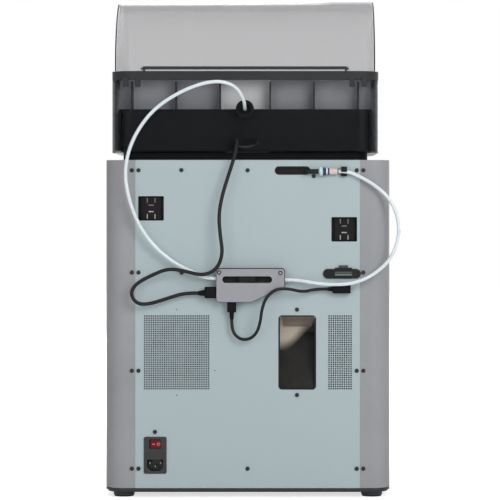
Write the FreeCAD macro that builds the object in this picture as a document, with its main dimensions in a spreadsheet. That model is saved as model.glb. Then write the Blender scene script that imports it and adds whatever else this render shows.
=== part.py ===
import FreeCAD, Part
import math
import os
import re
import Sketcher

os.makedirs("parts", exist_ok=True)
doc = FreeCAD.newDocument("enclosed_printer")
sheet = doc.addObject("Spreadsheet::Sheet", "sizes")
Vector = FreeCAD.Vector
Rotation = FreeCAD.Rotation

# A desktop filament printer in a closed case, with a four-bay filament feeder on its glass top.
# Millimetres, +Z up, door towards -Y, rear panel towards +Y, origin under the middle of the case.
sizes = {
    # case shell
    "case_width": 389,
    "case_depth": 389,
    "case_corner": 26,
    "panel_height": 447.6,
    "panel_wall": 3,
    "rear_gauge": 1.5,
    "rear_return": 41.3,
    "seam_gap": 0.1,
    # base and feet
    "pad_height": 2.2,
    "pad_inset": 1,
    "collar_height": 5.2,
    "foot_radius": 14.5,
    "foot_inset": 24.5,
    "base_thick": 5,
    "base_step": 2.2,
    "base_bevel": 2.5,
    "base_seam": 0.6,
    "upstand_height": 10,
    "upstand_wall": 4,
    # top frame and glass
    "glass_gauge": 4,
    "glass_gap": 1,
    "top_frame_height": 8,
    "top_rail": 26,
    # seam screws
    "seam_screw_inset": 4.35,
    "column_screw_inset": 4.65,
    "low_screw_height": 39.6,
    "second_screw_height": 173.1,
    "third_screw_height": 307.1,
    "top_screw_drop": 14.1,
    "inlet_screw_offset": 0.4,
    "inlet_screw_rise": 31.7,
    "chute_screw_offset": 0.3,
    "chute_screw_rise": 58.5,
    "chute_screw_fall": 58,
    "cover_screw_inset": 62.9,
    "cover_screw_drop": 13.8,
    "entry_screw_inset": 63,
    "entry_screw_drop": 21.9,
    "board_screw_inset": 63.2,
    "board_screw_height": 307,
    "screw_head": 2.9,
    "head_height": 1.3,
    "shank_radius": 1.4,
    "shank_length": 5,
    "hole_gap": 0.1,
    "bracket_reach": 13,
    "bracket_depth": 8,
    "bracket_below": 10,
    "bracket_above": 2,
    # motors in the upper rear corners
    "motor_window_width": 35,
    "motor_window_height": 33.4,
    "motor_inset": 21.4,
    "right_motor_drop": 66,
    "left_motor_drop": 94.6,
    "motor_side": 42.3,
    "motor_length": 38,
    "motor_setback": 6,
    "motor_shaft": 2.5,
    "motor_plate": 3,
    "plug_width": 26,
    "plug_height": 30,
    "pin_across": 5.3,
    "pin_rise": 11,
    "pin_length": 6.4,
    "ridge_width": 7,
    "ridge_rise": 4.4,
    # power inlet
    "inlet_inset": 27.2,
    "inlet_height": 57.9,
    "inlet_width": 31,
    "inlet_length": 50.3,
    "inlet_corner": 2.5,
    "inlet_proud": 1.4,
    "inlet_body_width": 27.4,
    "inlet_body_length": 46.4,
    "inlet_body_depth": 26,
    "rocker_width": 15,
    "rocker_height": 11.6,
    "rocker_rise": 15.3,
    "rocker_gap": 0.4,
    "rocker_tilt": 9,
    "socket_width": 22,
    "socket_height": 15.7,
    "socket_drop": 13.6,
    "socket_depth": 17,
    # vents
    "vent_inset": 56.3,
    "vent_width": 90,
    "vent_height": 102,
    "vent_centre_height": 198.2,
    "small_vent_inset": 27.1,
    "small_vent_width": 33,
    "fixing_radius": 0.9,
    "fixing_gap": 7.5,
    "fixing_drop": 25,
    "vent_pitch": 6,
    "vent_hole": 2.3,
    # waste chute
    "chute_inset": 85.5,
    "chute_centre_height": 198,
    "chute_width": 51.6,
    "chute_length": 101.5,
    "chute_corner": 5,
    "chute_wall": 2,
    "chute_depth": 36,
    # tube entry and coupler
    "entry_inset": 91.8,
    "entry_drop": 14.4,
    "entry_width": 49,
    "entry_slot": 11.7,
    "entry_depth": 6,
    "coupler_sag": 1.3,
    "coupler_lead": 24.1,
    "coupler_standoff": 7,
    "elbow_half": 3.25,
    "elbow_length": 6,
    "sleeve_radius": 3.25,
    "sleeve_length": 12.9,
    "collar_radius": 6,
    "collar_length": 5.7,
    "band_radius": 5.2,
    "band_length": 2.7,
    "neck_radius": 4.6,
    "neck_length": 4.7,
    "barrel_radius": 4.2,
    "barrel_length": 12.1,
    "tube_clip_lead": 41.9,
    "tube_clip_length": 8,
    "tube_clip_half": 6.5,
    "tube_clip_reach": 5,
    "tube_clip_gap": 1.2,
    "tube_clip_sink": 0.6,
    # port cover
    "port_inset": 24.5,
    "port_height": 305.5,
    "port_width": 51.4,
    "port_slot": 13.1,
    "port_lip": 2.5,
    "port_proud": 2.5,
    "port_brow_half": 11.5,
    "port_brow_rise": 8.2,
    "port_tab_half": 6.2,
    "port_tab_rise": 11.4,
    "port_rim": 3,
    "port_connector_half": 11.5,
    "port_shift": 2,
    "port_connector_rise": 2.9,
    # filament buffer
    "buffer_right": 42.9,
    "buffer_left": 51.2,
    "buffer_top": 313.3,
    "buffer_bottom": 266.7,
    "buffer_cut_height": 288,
    "buffer_cut_across": 5.9,
    "buffer_base_depth": 7,
    "buffer_depth": 20,
    "buffer_step": 1,
    "buffer_corner": 5,
    "slot_centre_height": 298,
    "slot_length": 67.7,
    "slot_width": 9.1,
    "buffer_screw_right": 4.8,
    "buffer_screw_right_drop": 5.5,
    "buffer_screw_left": 6.3,
    "buffer_screw_left_drop": 6.2,
    "slot_shift": 4.4,
    "slot_depth": 5,
    "slider_sink": 3.5,
    "slider_drop": 1.5,
    "slider_length": 22,
    "slider_gap": 0.5,
    # cords
    "tube_radius": 2.4,
    "cable_radius": 2.5,
    "bus_radius": 2.15,
    "feeder_plug_half": 5.5,
    "feeder_plug_rise": 4,
    "feeder_plug_reach": 12,
    "feeder_plug_end": 14,
    "plug_relief_grow": 0.9,
    "side_plug_length": 15.3,
    "side_plug_near": 5,
    "side_plug_far": 18,
    "side_plug_bottom": 272.5,
    "side_plug_top": 288,
    "side_relief_radius": 3.7,
    "side_relief_length": 9.6,
    "side_relief_level": 279.5,
    "side_relief_reach": 11.5,
    "low_plug_across": 21.4,
    "low_plug_half": 6.1,
    "low_plug_length": 13.3,
    "low_plug_far": 16,
    "low_relief_radius": 3.5,
    "low_relief_length": 9.9,
    "low_relief_reach": 10.5,
    "panel_plug_left": 140.2,
    "panel_plug_right": 115.8,
    "panel_plug_bottom": 279,
    "panel_plug_top": 290,
    "panel_plug_depth": 14,
    "panel_relief_radius": 3.2,
    "panel_relief_length": 6.8,
    "panel_relief_level": 285,
    "panel_relief_reach": 9.5,
    # chamber and electronics
    "electronics_depth": 46.5,
    "sheet_gauge": 1.5,
    "filter_side": 92,
    "filter_depth": 10,
    "filter_rim": 6,
    "filter_sink": 2,
    "supply_left": 110,
    "supply_right": 90,
    "supply_gap": 8,
    "supply_bottom": 20,
    "supply_top": 125,
    "board_left": 90,
    "board_right": 70,
    "board_bottom": 262,
    "board_top": 334,
    "board_gauge": 1.6,
    "board_standoff": 6,
    "board_foot_radius": 3,
    "board_foot_inset": 6,
    "processor_across": 30,
    "processor_rise": 38,
    "processor_half": 9,
    "processor_height": 2,
    "memory_across": 65,
    "memory_rise": 50,
    "memory_half": 6,
    "memory_height": 1.5,
    "coil_across": 100,
    "coil_rise": 28,
    "coil_half": 7,
    "coil_height": 8,
    "capacitor_across": 135,
    "capacitor_rise": 48,
    "capacitor_half": 5,
    "capacitor_height": 10,
    "chamber_back_gap": 1.6,
    "fan_side": 80,
    "fan_bore": 38,
    "rotor_radius": 36.5,
    "hub_radius": 16,
    "fan_axle": 2,
    # motion system
    "rail_drop": 58.6,
    "side_rod_radius": 5,
    "side_rod_inset": 29.5,
    "rod_holder": 16,
    "cross_rod_radius": 4,
    "cross_rod_half_gap": 14,
    "carriage_half_width": 15,
    "carriage_half_length": 20,
    "carriage_half_height": 14,
    "running_gap": 0.1,
    "toolhead_half_width": 22,
    "toolhead_half_depth": 26,
    "toolhead_rise": 10,
    "toolhead_drop": 60,
    "nozzle_block": 7,
    "nozzle_length": 6.5,
    "pulley_radius": 6,
    "pulley_height": 6,
    "belt_thick": 1.5,
    "right_belt_drop": 41.6,
    "left_belt_drop": 31.6,
    "idler_setback": 22.5,
    "bed_screw_gap": 17,
    "bed_back_gap": 23,
    "bed_thick": 8,
    "bed_rest_height": 70,
    "plate_lap": 3.5,
    "plate_thick": 6,
    "screw_inset": 52.5,
    "screw_plane": 60,
    "screw_radius": 4,
    "screw_top_drop": 68,
    "bed_rod_radius": 5,
    "bed_arm_half": 12,
    "bed_arm_drop": 14,
    "bearing_height": 10,
    # door and screen
    "door_side_gap": 2.7,
    "door_bottom": 62,
    "door_top_drop": 90.6,
    "door_gauge": 4,
    "door_margin": 1,
    "door_back_gap": 0.3,
    "door_stop_lap": 12,
    "front_depth": 10.5,
    "hinge_axis_gap": 3.3,
    "knuckle_radius": 3,
    "hinge_pin_radius": 1.5,
    "hinge_length": 30,
    "leaf_gauge": 1.5,
    "leaf_width": 18,
    "door_hinge_low": 110,
    "door_hinge_high": 292,
    "handle_inset": 18.5,
    "handle_centre_height": 216,
    "handle_length": 80,
    "handle_reach": 21.3,
    "handle_width": 12,
    "handle_bar": 6,
    "screen_width": 120,
    "screen_height": 66,
    "screen_drop": 48.6,
    "screen_depth": 8,
    # filament feeder: tub
    "feeder_across": 4,
    "feeder_centre": 31,
    "feeder_width": 368.5,
    "feeder_depth": 283,
    "feeder_corner": 28,
    "feeder_wall": 3,
    "plinth_inset": 15,
    "plinth_height": 10.4,
    "tub_height": 100.2,
    "rim_height": 12,
    "rim_width": 9,
    "clip_width": 7.5,
    "clip_drop": 10,
    "clip_proud": 1.5,
    "inner_clip_across": 147,
    "outer_clip_across": 164,
    # feeder: inside
    "deck_top": 531,
    "deck_gap": 5,
    "deck_floor": 5,
    "deck_wall": 4.5,
    "deck_space_inset": 11,
    "bay_inner": 34.5,
    "bay_pitch": 60.7,
    "divider_gauge": 2,
    "divider_top": 569,
    "divider_depth": 24,
    "baffle_gauge": 1.5,
    "baffle_top": 576,
    "rib_half": 3,
    "spool_well_radius": 104,
    "spool_axis_height": 586,
    "roller_radius": 12,
    "roller_half_gap": 55,
    "roller_axis_height": 488.4,
    "roller_gap": 0.6,
    "axle_radius": 2.5,
    "axle_length": 2.4,
    "axle_gap": 0.05,
    "feed_unit_half": 20,
    "feed_unit_far": 130,
    "feed_unit_near": 104,
    "feed_unit_height": 9,
    "hub_disc_radius": 34,
    "hub_disc_depth": 4,
    "hub_disc_height": 509,
    # feeder: lid
    "lid_gap": 0.2,
    "lid_width": 358,
    "lid_depth": 275,
    "lid_height": 102.6,
    "lid_round": 100,
    "lid_wall": 2.5,
    "bar_half_length": 140,
    "lug_length": 2.5,
    "lid_barrel": 3.3,
    "lid_clear": 0.3,
    "lid_pin": 1.5,
    "bar_slot_height": 2.3,
    "bar_post": 3,
    # feeder: rear fittings
    "outlet_height": 530.6,
    "outlet_radius": 12.5,
    "outlet_length": 9.5,
    "outlet_cup": 8,
    "outlet_floor": 3.5,
    "feeder_socket_height": 487,
    "feeder_socket_across": 10.4,
    "feeder_socket_half": 8,
    "feeder_socket_proud": 3,
    "spare_socket_across": -10,
}
for row, (word, value) in enumerate(sizes.items(), 1):
    sheet.set(f"A{row}", word)
    sheet.set(f"B{row}", str(value))
    sheet.setAlias(f"B{row}", word)
doc.recompute()
known_word = re.compile(r"\b(" + "|".join(sizes) + r")\b")

# planes that several pieces share, worked out from the sizes
base_bottom = "(pad_height + collar_height)"
base_top = f"({base_bottom} + base_thick)"
panel_bottom = f"({base_top} + base_seam)"
case_top = f"({panel_bottom} + panel_height)"
rear_face = "(case_depth / 2)"
rear_inner = "(case_depth / 2 - rear_gauge)"
shell_inner_x = "(case_width / 2 - panel_wall)"
shell_inner_y = "(case_depth / 2 - panel_wall)"
seam = "(rear_panel_width / 2)"
feeder_back = "(feeder_centre + feeder_depth / 2)"
tub_bottom = f"({case_top} + plinth_height)"
tub_floor = f"({tub_bottom} + feeder_wall)"
tub_top = f"({tub_bottom} + tub_height)"
rim_top = f"({tub_top} + rim_height)"
lid_bottom = f"({rim_top} + lid_gap)"
buffer_face = f"({rear_face} + buffer_depth)"

# words that stand for a place worked out from the sizes
places = {
    "rear_panel_width": "(case_width - 2 * rear_return)",
    "panel_edge": "(case_width / 2 - rear_return)",
    "motor_across": "(panel_edge - motor_inset)",
    "right_motor_height": f"({case_top} - right_motor_drop)",
    "left_motor_height": f"({case_top} - left_motor_drop)",
    "inlet_across": "(panel_edge - inlet_inset)",
    "vent_across": "(panel_edge - vent_inset)",
    "small_vent_across": "(panel_edge - small_vent_inset)",
    "chute_across": "(panel_edge - chute_inset)",
    "entry_across": "(panel_edge - entry_inset)",
    "entry_height": f"({case_top} - entry_drop)",
    "coupler_height": "(entry_height - coupler_sag)",
    "coupler_start": "(entry_across + coupler_lead)",
    "port_across": "(panel_edge - port_inset)",
    "chamber_back_plane": "(case_depth / 2 - electronics_depth)",
    "chamber_back_top": "(left_motor_height - motor_length / 2 - chamber_back_gap)",
    "rail_height": f"({case_top} - rail_drop)",
    "side_rod_across": "(case_width / 2 - side_rod_inset)",
    "toolhead_top": "(rail_height + toolhead_rise)",
    "toolhead_bottom": "(rail_height - toolhead_drop)",
    "right_belt_height": f"({case_top} - right_belt_drop)",
    "left_belt_height": f"({case_top} - left_belt_drop)",
    "idler_plane": "(case_depth / 2 - idler_setback)",
    "screw_across": "(case_width / 2 - screw_inset)",
    "screw_top": "(rail_height - screw_top_drop)",
    "bed_half_width": "(screw_across - bed_screw_gap)",
    "bed_half_depth": "(chamber_back_plane - bed_back_gap)",
    "door_half_width": "(panel_edge - door_side_gap)",
    "door_top": f"({case_top} - door_top_drop)",
    "handle_across": "(door_half_width - handle_inset)",
    "screen_centre_height": f"({case_top} - screen_drop)",
}
known_place = re.compile(r"\b(" + "|".join(places) + r")\b")


def expression(text):
    """Writes out each place, then points each size's word at its cell."""
    text = str(text)
    while known_place.search(text):
        text = known_place.sub(lambda found: places[found[1]], text)
    return known_word.sub(r"sizes.\1", text)


def number(text):
    """The value of an expression, in millimetres."""
    return float(sheet.evalExpression(expression(text)))


def bind(piece, prop, text):
    piece.setExpression(prop, expression(text))


def place(piece, x="0", y="0", z="0"):
    for letter, text in zip("xyz", (x, y, z)):
        bind(piece, f"Placement.Base.{letter}", text)
    return piece


def mirrored(span, side):
    """A (low, high) span, turned to the other side of zero when side is -1."""
    low, high = span
    return span if side > 0 else (f"-({high})", f"-({low})")


def about(centre, half):
    return f"({centre}) - ({half})", f"({centre}) + ({half})"


def box(name, x, y, z):
    """A block given by its (low, high) span on each axis."""
    piece = doc.addObject("Part::Box", name)
    for prop, (low, high) in zip(("Length", "Width", "Height"), (x, y, z)):
        bind(piece, prop, f"({high}) - ({low})")
    return place(piece, x[0], y[0], z[0])


turns = {
    "x": Rotation(Vector(0, 1, 0), 90),
    "y": Rotation(Vector(1, 0, 0), -90),
    "z": Rotation(),
}


def along(piece, axis, start, centre):
    """Lays a turned primitive along an axis, with its centre on the other two."""
    piece.Placement.Rotation = turns[axis]
    spots = list(centre)
    spots.insert("xyz".index(axis), start)
    return place(piece, *spots)


def cylinder(name, axis, radius, span, centre):
    piece = doc.addObject("Part::Cylinder", name)
    bind(piece, "Radius", radius)
    bind(piece, "Height", f"({span[1]}) - ({span[0]})")
    return along(piece, axis, span[0], centre)


def cone(name, axis, radii, span, centre):
    piece = doc.addObject("Part::Cone", name)
    bind(piece, "Radius1", radii[0])
    bind(piece, "Radius2", radii[1])
    bind(piece, "Height", f"({span[1]}) - ({span[0]})")
    return along(piece, axis, span[0], centre)


def group(name, pieces):
    """Separate solids that make one node."""
    piece = doc.addObject("Part::Compound", name)
    piece.Links = pieces
    return piece


def fuse(name, pieces):
    piece = doc.addObject("Part::MultiFuse", name)
    piece.Shapes = pieces
    return piece


def cut(name, base, *tools):
    piece = doc.addObject("Part::Cut", name)
    piece.Base = base
    piece.Tool = tools[0] if len(tools) == 1 else fuse(f"{name}_tool", list(tools))
    return piece


def common(name, first, second):
    piece = doc.addObject("Part::Common", name)
    piece.Base = first
    piece.Tool = second
    return piece


def hold(sketch, kind, *rest):
    """Adds a constraint; a last argument in words binds its value."""
    if isinstance(rest[-1], str):
        index = sketch.addConstraint(Sketcher.Constraint(kind, *rest[:-1], number(rest[-1])))
        bind(sketch, f"Constraints[{index}]", rest[-1])
    else:
        sketch.addConstraint(Sketcher.Constraint(kind, *rest))


def draw_rounded(sketch, x, y, width, height, radius):
    """A rounded rectangle: bottom, right, top and left lines, then the four arcs."""
    low_x = number(f"({x}) - ({width}) / 2")
    high_x = number(f"({x}) + ({width}) / 2")
    low_y = number(f"({y}) - ({height}) / 2")
    high_y = number(f"({y}) + ({height}) / 2")
    r = number(radius)
    first = len(sketch.Geometry)
    ends = [
        ((low_x + r, low_y), (high_x - r, low_y)),
        ((high_x, low_y + r), (high_x, high_y - r)),
        ((high_x - r, high_y), (low_x + r, high_y)),
        ((low_x, high_y - r), (low_x, low_y + r)),
    ]
    for start, end in ends:
        sketch.addGeometry(Part.LineSegment(Vector(*start, 0), Vector(*end, 0)), False)
    centres = [
        (high_x - r, low_y + r), (high_x - r, high_y - r), (low_x + r, high_y - r), (low_x + r, low_y + r)]
    for quarter, centre in enumerate(centres):
        begin = math.radians(90 * quarter - 90)
        circle = Part.Circle(Vector(*centre, 0), Vector(0, 0, 1), r)
        sketch.addGeometry(Part.ArcOfCircle(circle, begin, begin + math.pi / 2), False)
    for side in range(4):
        arc = first + 4 + side
        hold(sketch, "Tangent", first + side, 2, arc, 1)
        hold(sketch, "Tangent", arc, 2, first + (side + 1) % 4, 1)
        if side:
            hold(sketch, "Equal", first + 4, arc)
    hold(sketch, "Horizontal", first)
    hold(sketch, "Vertical", first + 1)
    hold(sketch, "Horizontal", first + 2)
    hold(sketch, "Radius", first + 4, radius)
    hold(sketch, "DistanceX", -1, 1, first + 1, 1, f"({x}) + ({width}) / 2")
    hold(sketch, "DistanceX", -1, 1, first + 3, 1, f"({x}) - ({width}) / 2")
    hold(sketch, "DistanceY", -1, 1, first + 2, 1, f"({y}) + ({height}) / 2")
    hold(sketch, "DistanceY", -1, 1, first, 1, f"({y}) - ({height}) / 2")


def draw_capsule(sketch, x, y, width, height):
    """A slot with round ends, lying along the sketch's x."""
    r = number(f"({height}) / 2")
    low_x = number(f"({x}) - ({width}) / 2") + r
    high_x = number(f"({x}) + ({width}) / 2") - r
    middle = number(y)
    first = len(sketch.Geometry)
    lower = Part.LineSegment(Vector(low_x, middle - r, 0), Vector(high_x, middle - r, 0))
    upper = Part.LineSegment(Vector(high_x, middle + r, 0), Vector(low_x, middle + r, 0))
    up = Vector(0, 0, 1)
    right = Part.ArcOfCircle(Part.Circle(Vector(high_x, middle, 0), up, r), -math.pi / 2, math.pi / 2)
    left = Part.ArcOfCircle(Part.Circle(Vector(low_x, middle, 0), up, r), math.pi / 2, 3 * math.pi / 2)
    for curve in (lower, right, upper, left):
        sketch.addGeometry(curve, False)
    for side in range(4):
        hold(sketch, "Tangent", first + side, 2, first + (side + 1) % 4, 1)
    hold(sketch, "Horizontal", first)
    hold(sketch, "Radius", first + 1, f"({height}) / 2")
    hold(sketch, "DistanceX", -1, 1, first + 1, 3, f"({x}) + ({width}) / 2 - ({height}) / 2")
    hold(sketch, "DistanceX", -1, 1, first + 3, 3, f"({x}) - ({width}) / 2 + ({height}) / 2")
    hold(sketch, "DistanceY", -1, 1, first + 1, 3, y)


def draw_arch(sketch, x, low, width, height, radius):
    """A flat-bottomed outline whose two upper corners are large arcs."""
    left = number(f"({x}) - ({width}) / 2")
    right = number(f"({x}) + ({width}) / 2")
    bottom = number(low)
    top = bottom + number(height)
    r = number(radius)
    up = Vector(0, 0, 1)
    first = len(sketch.Geometry)
    corners = [
        Part.LineSegment(Vector(left, bottom, 0), Vector(right, bottom, 0)),
        Part.LineSegment(Vector(right, bottom, 0), Vector(right, top - r, 0)),
        Part.ArcOfCircle(Part.Circle(Vector(right - r, top - r, 0), up, r), 0, math.pi / 2),
        Part.LineSegment(Vector(right - r, top, 0), Vector(left + r, top, 0)),
        Part.ArcOfCircle(Part.Circle(Vector(left + r, top - r, 0), up, r), math.pi / 2, math.pi),
        Part.LineSegment(Vector(left, top - r, 0), Vector(left, bottom, 0))]
    for curve in corners:
        sketch.addGeometry(curve, False)
    for side in (1, 2, 3, 4):
        hold(sketch, "Tangent", first + side, 2, first + side + 1, 1)
    hold(sketch, "Coincident", first, 2, first + 1, 1)
    hold(sketch, "Coincident", first + 5, 2, first, 1)
    hold(sketch, "Vertical", first + 1)
    hold(sketch, "Horizontal", first + 3)
    hold(sketch, "Equal", first + 2, first + 4)
    hold(sketch, "Radius", first + 2, radius)
    hold(sketch, "DistanceX", -1, 1, first, 1, f"({x}) - ({width}) / 2")
    hold(sketch, "DistanceX", -1, 1, first, 2, f"({x}) + ({width}) / 2")
    hold(sketch, "DistanceY", -1, 1, first, 1, low)
    hold(sketch, "DistanceY", -1, 1, first, 2, low)
    hold(sketch, "DistanceY", -1, 1, first + 3, 1, f"({low}) + ({height})")


def draw_path(sketch, corners):
    """A closed outline of straight sides through corners given as expressions."""
    spots = [Vector(number(x), number(y), 0) for x, y in corners]
    first = len(sketch.Geometry)
    count = len(spots)
    for index in range(count):
        sketch.addGeometry(Part.LineSegment(spots[index], spots[(index + 1) % count]), False)
    for index, (x, y) in enumerate(corners):
        hold(sketch, "Coincident", first + index, 2, first + (index + 1) % count, 1)
        hold(sketch, "DistanceX", -1, 1, first + index, 1, x)
        hold(sketch, "DistanceY", -1, 1, first + index, 1, y)


pens = {"rounded": draw_rounded, "capsule": draw_capsule, "path": draw_path, "arch": draw_arch}
normals = {"XY_Plane": "z", "XZ_Plane": "y", "YZ_Plane": "x"}


def plate(name, plane, start, depth, *outlines):
    """A padded sketch. It grows up from an XY start, inwards from an XZ one and to +X from a YZ one."""
    body = doc.addObject("PartDesign::Body", name)
    sketch = body.newObject("Sketcher::SketchObject", f"{name}_sketch")
    origin_plane = next(f for f in body.Origin.OriginFeatures if f.Role == plane)
    sketch.AttachmentSupport = [(origin_plane, "")]
    sketch.MapMode = "FlatFace"
    for kind, *values in outlines:
        pens[kind](sketch, *values)
    pad = body.newObject("PartDesign::Pad", f"{name}_pad")
    pad.Profile = sketch
    bind(pad, "Length", depth)
    bind(body, f"Placement.Base.{normals[plane]}", start)
    return body


nodes = []


def keep(piece):
    """Registers a finished sub-part, whose name its file takes."""
    nodes.append(piece)
    return piece


# ---- base, feet and shell ----
def base_frame():
    low_step = plate(
        "base_low", "XY_Plane", base_bottom, "base_step",
        ("rounded", "0", "0", "case_width - 2 * base_bevel", "case_depth - 2 * base_bevel",
         "case_corner - base_bevel"))
    slab = plate(
        "base_slab", "XY_Plane", f"{base_bottom} + base_step", "base_thick - base_step",
        ("rounded", "0", "0", "case_width", "case_depth", "case_corner"))
    upstand = plate(
        "base_upstand", "XY_Plane", base_top, "upstand_height",
        ("rounded", "0", "0", "case_width - 2 * panel_wall", "case_depth - 2 * panel_wall",
         "case_corner - panel_wall"),
        ("rounded", "0", "0", "case_width - 2 * panel_wall - 2 * upstand_wall",
         "case_depth - 2 * panel_wall - 2 * upstand_wall", "case_corner - panel_wall - upstand_wall"))
    rear_lip = box(
        "base_rear_lip", ("-rear_panel_width / 2", seam),
        (f"{rear_inner} - upstand_wall", rear_inner), (base_top, f"{base_top} + upstand_height"))
    collars = [
        cylinder(f"collar_{index}", "z", "foot_radius", ("pad_height", base_bottom), spot)
        for index, spot in enumerate(foot_spots)]
    bearings = [
        cylinder(f"bearing_{index}", "z", "bed_arm_half", (base_top, f"{base_top} + bearing_height"), spot)
        for index, spot in enumerate(screw_spots + bed_rod_spots)]
    bores = [
        cylinder(f"bearing_bore_{index}", "z", "screw_radius + axle_gap",
                 (f"{base_top} + 1", f"{base_top} + bearing_height + 1"), spot)
        for index, spot in enumerate(screw_spots)]
    seats = [
        cylinder(f"rod_seat_{index}", "z", "bed_rod_radius",
                 (f"{base_top} + 1", f"{base_top} + bearing_height + 1"), spot)
        for index, spot in enumerate(bed_rod_spots)]
    whole = fuse("base_whole", [low_step, slab, upstand, rear_lip, *collars, *bearings])
    return cut("base_frame", whole, *bores, *seats)


foot_spots = [
    (f"{a} * (case_width / 2 - foot_inset)", f"{b} * (case_depth / 2 - foot_inset)")
    for a in (-1, 1) for b in (-1, 1)]
screw_spots = [(f"{side} * screw_across", "screw_plane") for side in (-1, 1)]
bed_rod_spots = [(f"{side} * screw_across", "-screw_plane") for side in (-1, 1)]
keep(base_frame())
keep(group("foot_pads", [
    cylinder(f"foot_pad_{index}", "z", "foot_radius - pad_inset", ("0", "pad_height"), spot)
    for index, spot in enumerate(foot_spots)]))

# screws on the two rear seams, given by side, distance out from the middle, and height
seam_heights = [
    "low_screw_height", "second_screw_height", "third_screw_height", f"({case_top} - top_screw_drop)"]
bare_spot = (-1, "third_screw_height")
column_out = f"({seam} + column_screw_inset)"
panel_out = f"({seam} - seam_screw_inset)"
column_screws = [(f"{side} * {column_out}", z) for side in (-1, 1) for z in seam_heights]
seam_screws = [
    (f"{side} * {panel_out}", z) for side in (-1, 1) for z in seam_heights
    if (side, z) != bare_spot]
buffer_screw_spots = [
    ("buffer_right - buffer_screw_right", "buffer_top - buffer_screw_right_drop"),
    ("buffer_screw_left - buffer_left", "buffer_top - buffer_screw_left_drop")]
panel_screws = [
    ("0", seam_heights[-1]),
    ("0", seam_heights[0]),
    ("inlet_across + inlet_screw_offset", "inlet_height + inlet_screw_rise"),
    ("chute_screw_offset - chute_across", "chute_centre_height + chute_screw_rise"),
    ("chute_screw_offset - chute_across", "chute_centre_height - chute_screw_fall"),
    ("panel_edge - cover_screw_inset", f"{case_top} - cover_screw_drop"),
    ("entry_screw_inset - panel_edge", f"{case_top} - entry_screw_drop"),
    ("panel_edge - board_screw_inset", "board_screw_height")]


def screw_holes(name, spots, span):
    return group(name, [
        cylinder(f"{name}_{index}", "y", "shank_radius + hole_gap", span, spot)
        for index, spot in enumerate(spots)])


def side_panel(name, side):
    """The wall with its front and rear returns, out of one rounded ring."""
    ring = plate(
        f"{name}_ring", "XY_Plane", panel_bottom, "panel_height",
        ("rounded", "0", "0", "case_width", "case_depth", "case_corner"),
        ("rounded", "0", "0", "case_width - 2 * panel_wall", "case_depth - 2 * panel_wall",
         "case_corner - panel_wall"))
    half = box(
        f"{name}_half", mirrored((f"{seam} + seam_gap", "case_width"), side),
        ("-case_depth", "case_depth"), ("0", f"{case_top} + 1"))
    holes = screw_holes(
        f"{name}_hole", [spot for spot in column_screws if spot[0].startswith(f"{side} *")],
        (f"{rear_face} - panel_wall - 1", f"{rear_face} + 1"))
    return cut(name, common(f"{name}_shell", ring, half), holes)


keep(side_panel("side_panel_right", 1))
keep(side_panel("side_panel_left", -1))


vent_fixings = [
    ("vent_across", "vent_centre_height + vent_height / 2 + fixing_gap"),
    ("vent_across", "vent_centre_height - vent_height / 2 - fixing_gap"),
    ("vent_across - vent_width / 2 - fixing_gap", "vent_centre_height - fixing_drop")]


def rear_panel():
    sheet_metal = plate(
        "rear_sheet", "XZ_Plane", rear_face, "rear_gauge",
        ("rounded", "0", f"{panel_bottom} + panel_height / 2", "rear_panel_width", "panel_height", "1"),
        ("rounded", "motor_across", "right_motor_height", "motor_window_width", "motor_window_height", "1.5"),
        ("rounded", "-motor_across", "left_motor_height", "motor_window_width", "motor_window_height", "1.5"),
        ("rounded", "inlet_across", "inlet_height", "inlet_body_width", "inlet_body_length", "inlet_corner"),
        ("rounded", "vent_across", "vent_centre_height", "vent_width", "vent_height", "1"),
        ("rounded", "-small_vent_across", "vent_centre_height", "small_vent_width", "vent_height", "1"),
        ("rounded", "-chute_across", "chute_centre_height", "chute_width", "chute_length", "chute_corner"),
        ("capsule", "-entry_across", "entry_height", "entry_width", "entry_slot"))
    through = (f"{rear_inner} - 1", f"{rear_face} + 1")
    holes = screw_holes("rear_hole", seam_screws + panel_screws, through)
    fixings = [
        cylinder(f"vent_fixing_{index}", "y", "fixing_radius", through, spot)
        for index, spot in enumerate(vent_fixings)]
    return cut("rear_panel", sheet_metal, holes, *fixings)


keep(rear_panel())


def grille(across, width):
    """A punched field of holes that fills one vent of the rear panel."""
    count_x = int(number(width) // number("vent_pitch"))
    count_z = int(number("vent_height") // number("vent_pitch"))
    radius = number("vent_hole")
    up = Vector(0, -1, 0)
    half_x = number(width) / 2
    half_z = number("vent_height") / 2
    middle_x = number(across)
    middle_z = number("vent_centre_height")
    face_plane = number(rear_face)
    corners = [
        Vector(middle_x + a * half_x, face_plane, middle_z + b * half_z)
        for a, b in ((-1, -1), (1, -1), (1, 1), (-1, 1), (-1, -1))]
    outline = Part.makePolygon(corners)
    wires = [outline]
    for column in range(count_x):
        for line in range(count_z):
            x = middle_x + (column - (count_x - 1) / 2) * number("vent_pitch")
            z = middle_z + (line - (count_z - 1) / 2) * number("vent_pitch")
            hole = Part.Wire([Part.Circle(Vector(x, face_plane, z), up, radius).toShape()])
            hole.reverse()
            wires.append(hole)
    face = Part.Face(wires)
    return face.extrude(Vector(0, -number("rear_gauge"), 0))


vent_grilles = doc.addObject("Part::Feature", "vent_grilles")
vent_grilles.Shape = Part.makeCompound([
    grille("vent_across", "vent_width"), grille("-small_vent_across", "small_vent_width")])
keep(vent_grilles)


def inside_shell(name, piece, span):
    """Trims a bracket to the rounded inside of the shell."""
    inside = plate(
        f"{name}_inside", "XY_Plane", span[0], f"({span[1]}) - ({span[0]})",
        ("rounded", "0", "0", "case_width - 2 * panel_wall", "case_depth - 2 * panel_wall",
         "case_corner - panel_wall"))
    return common(f"{name}_trimmed", piece, inside)


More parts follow.
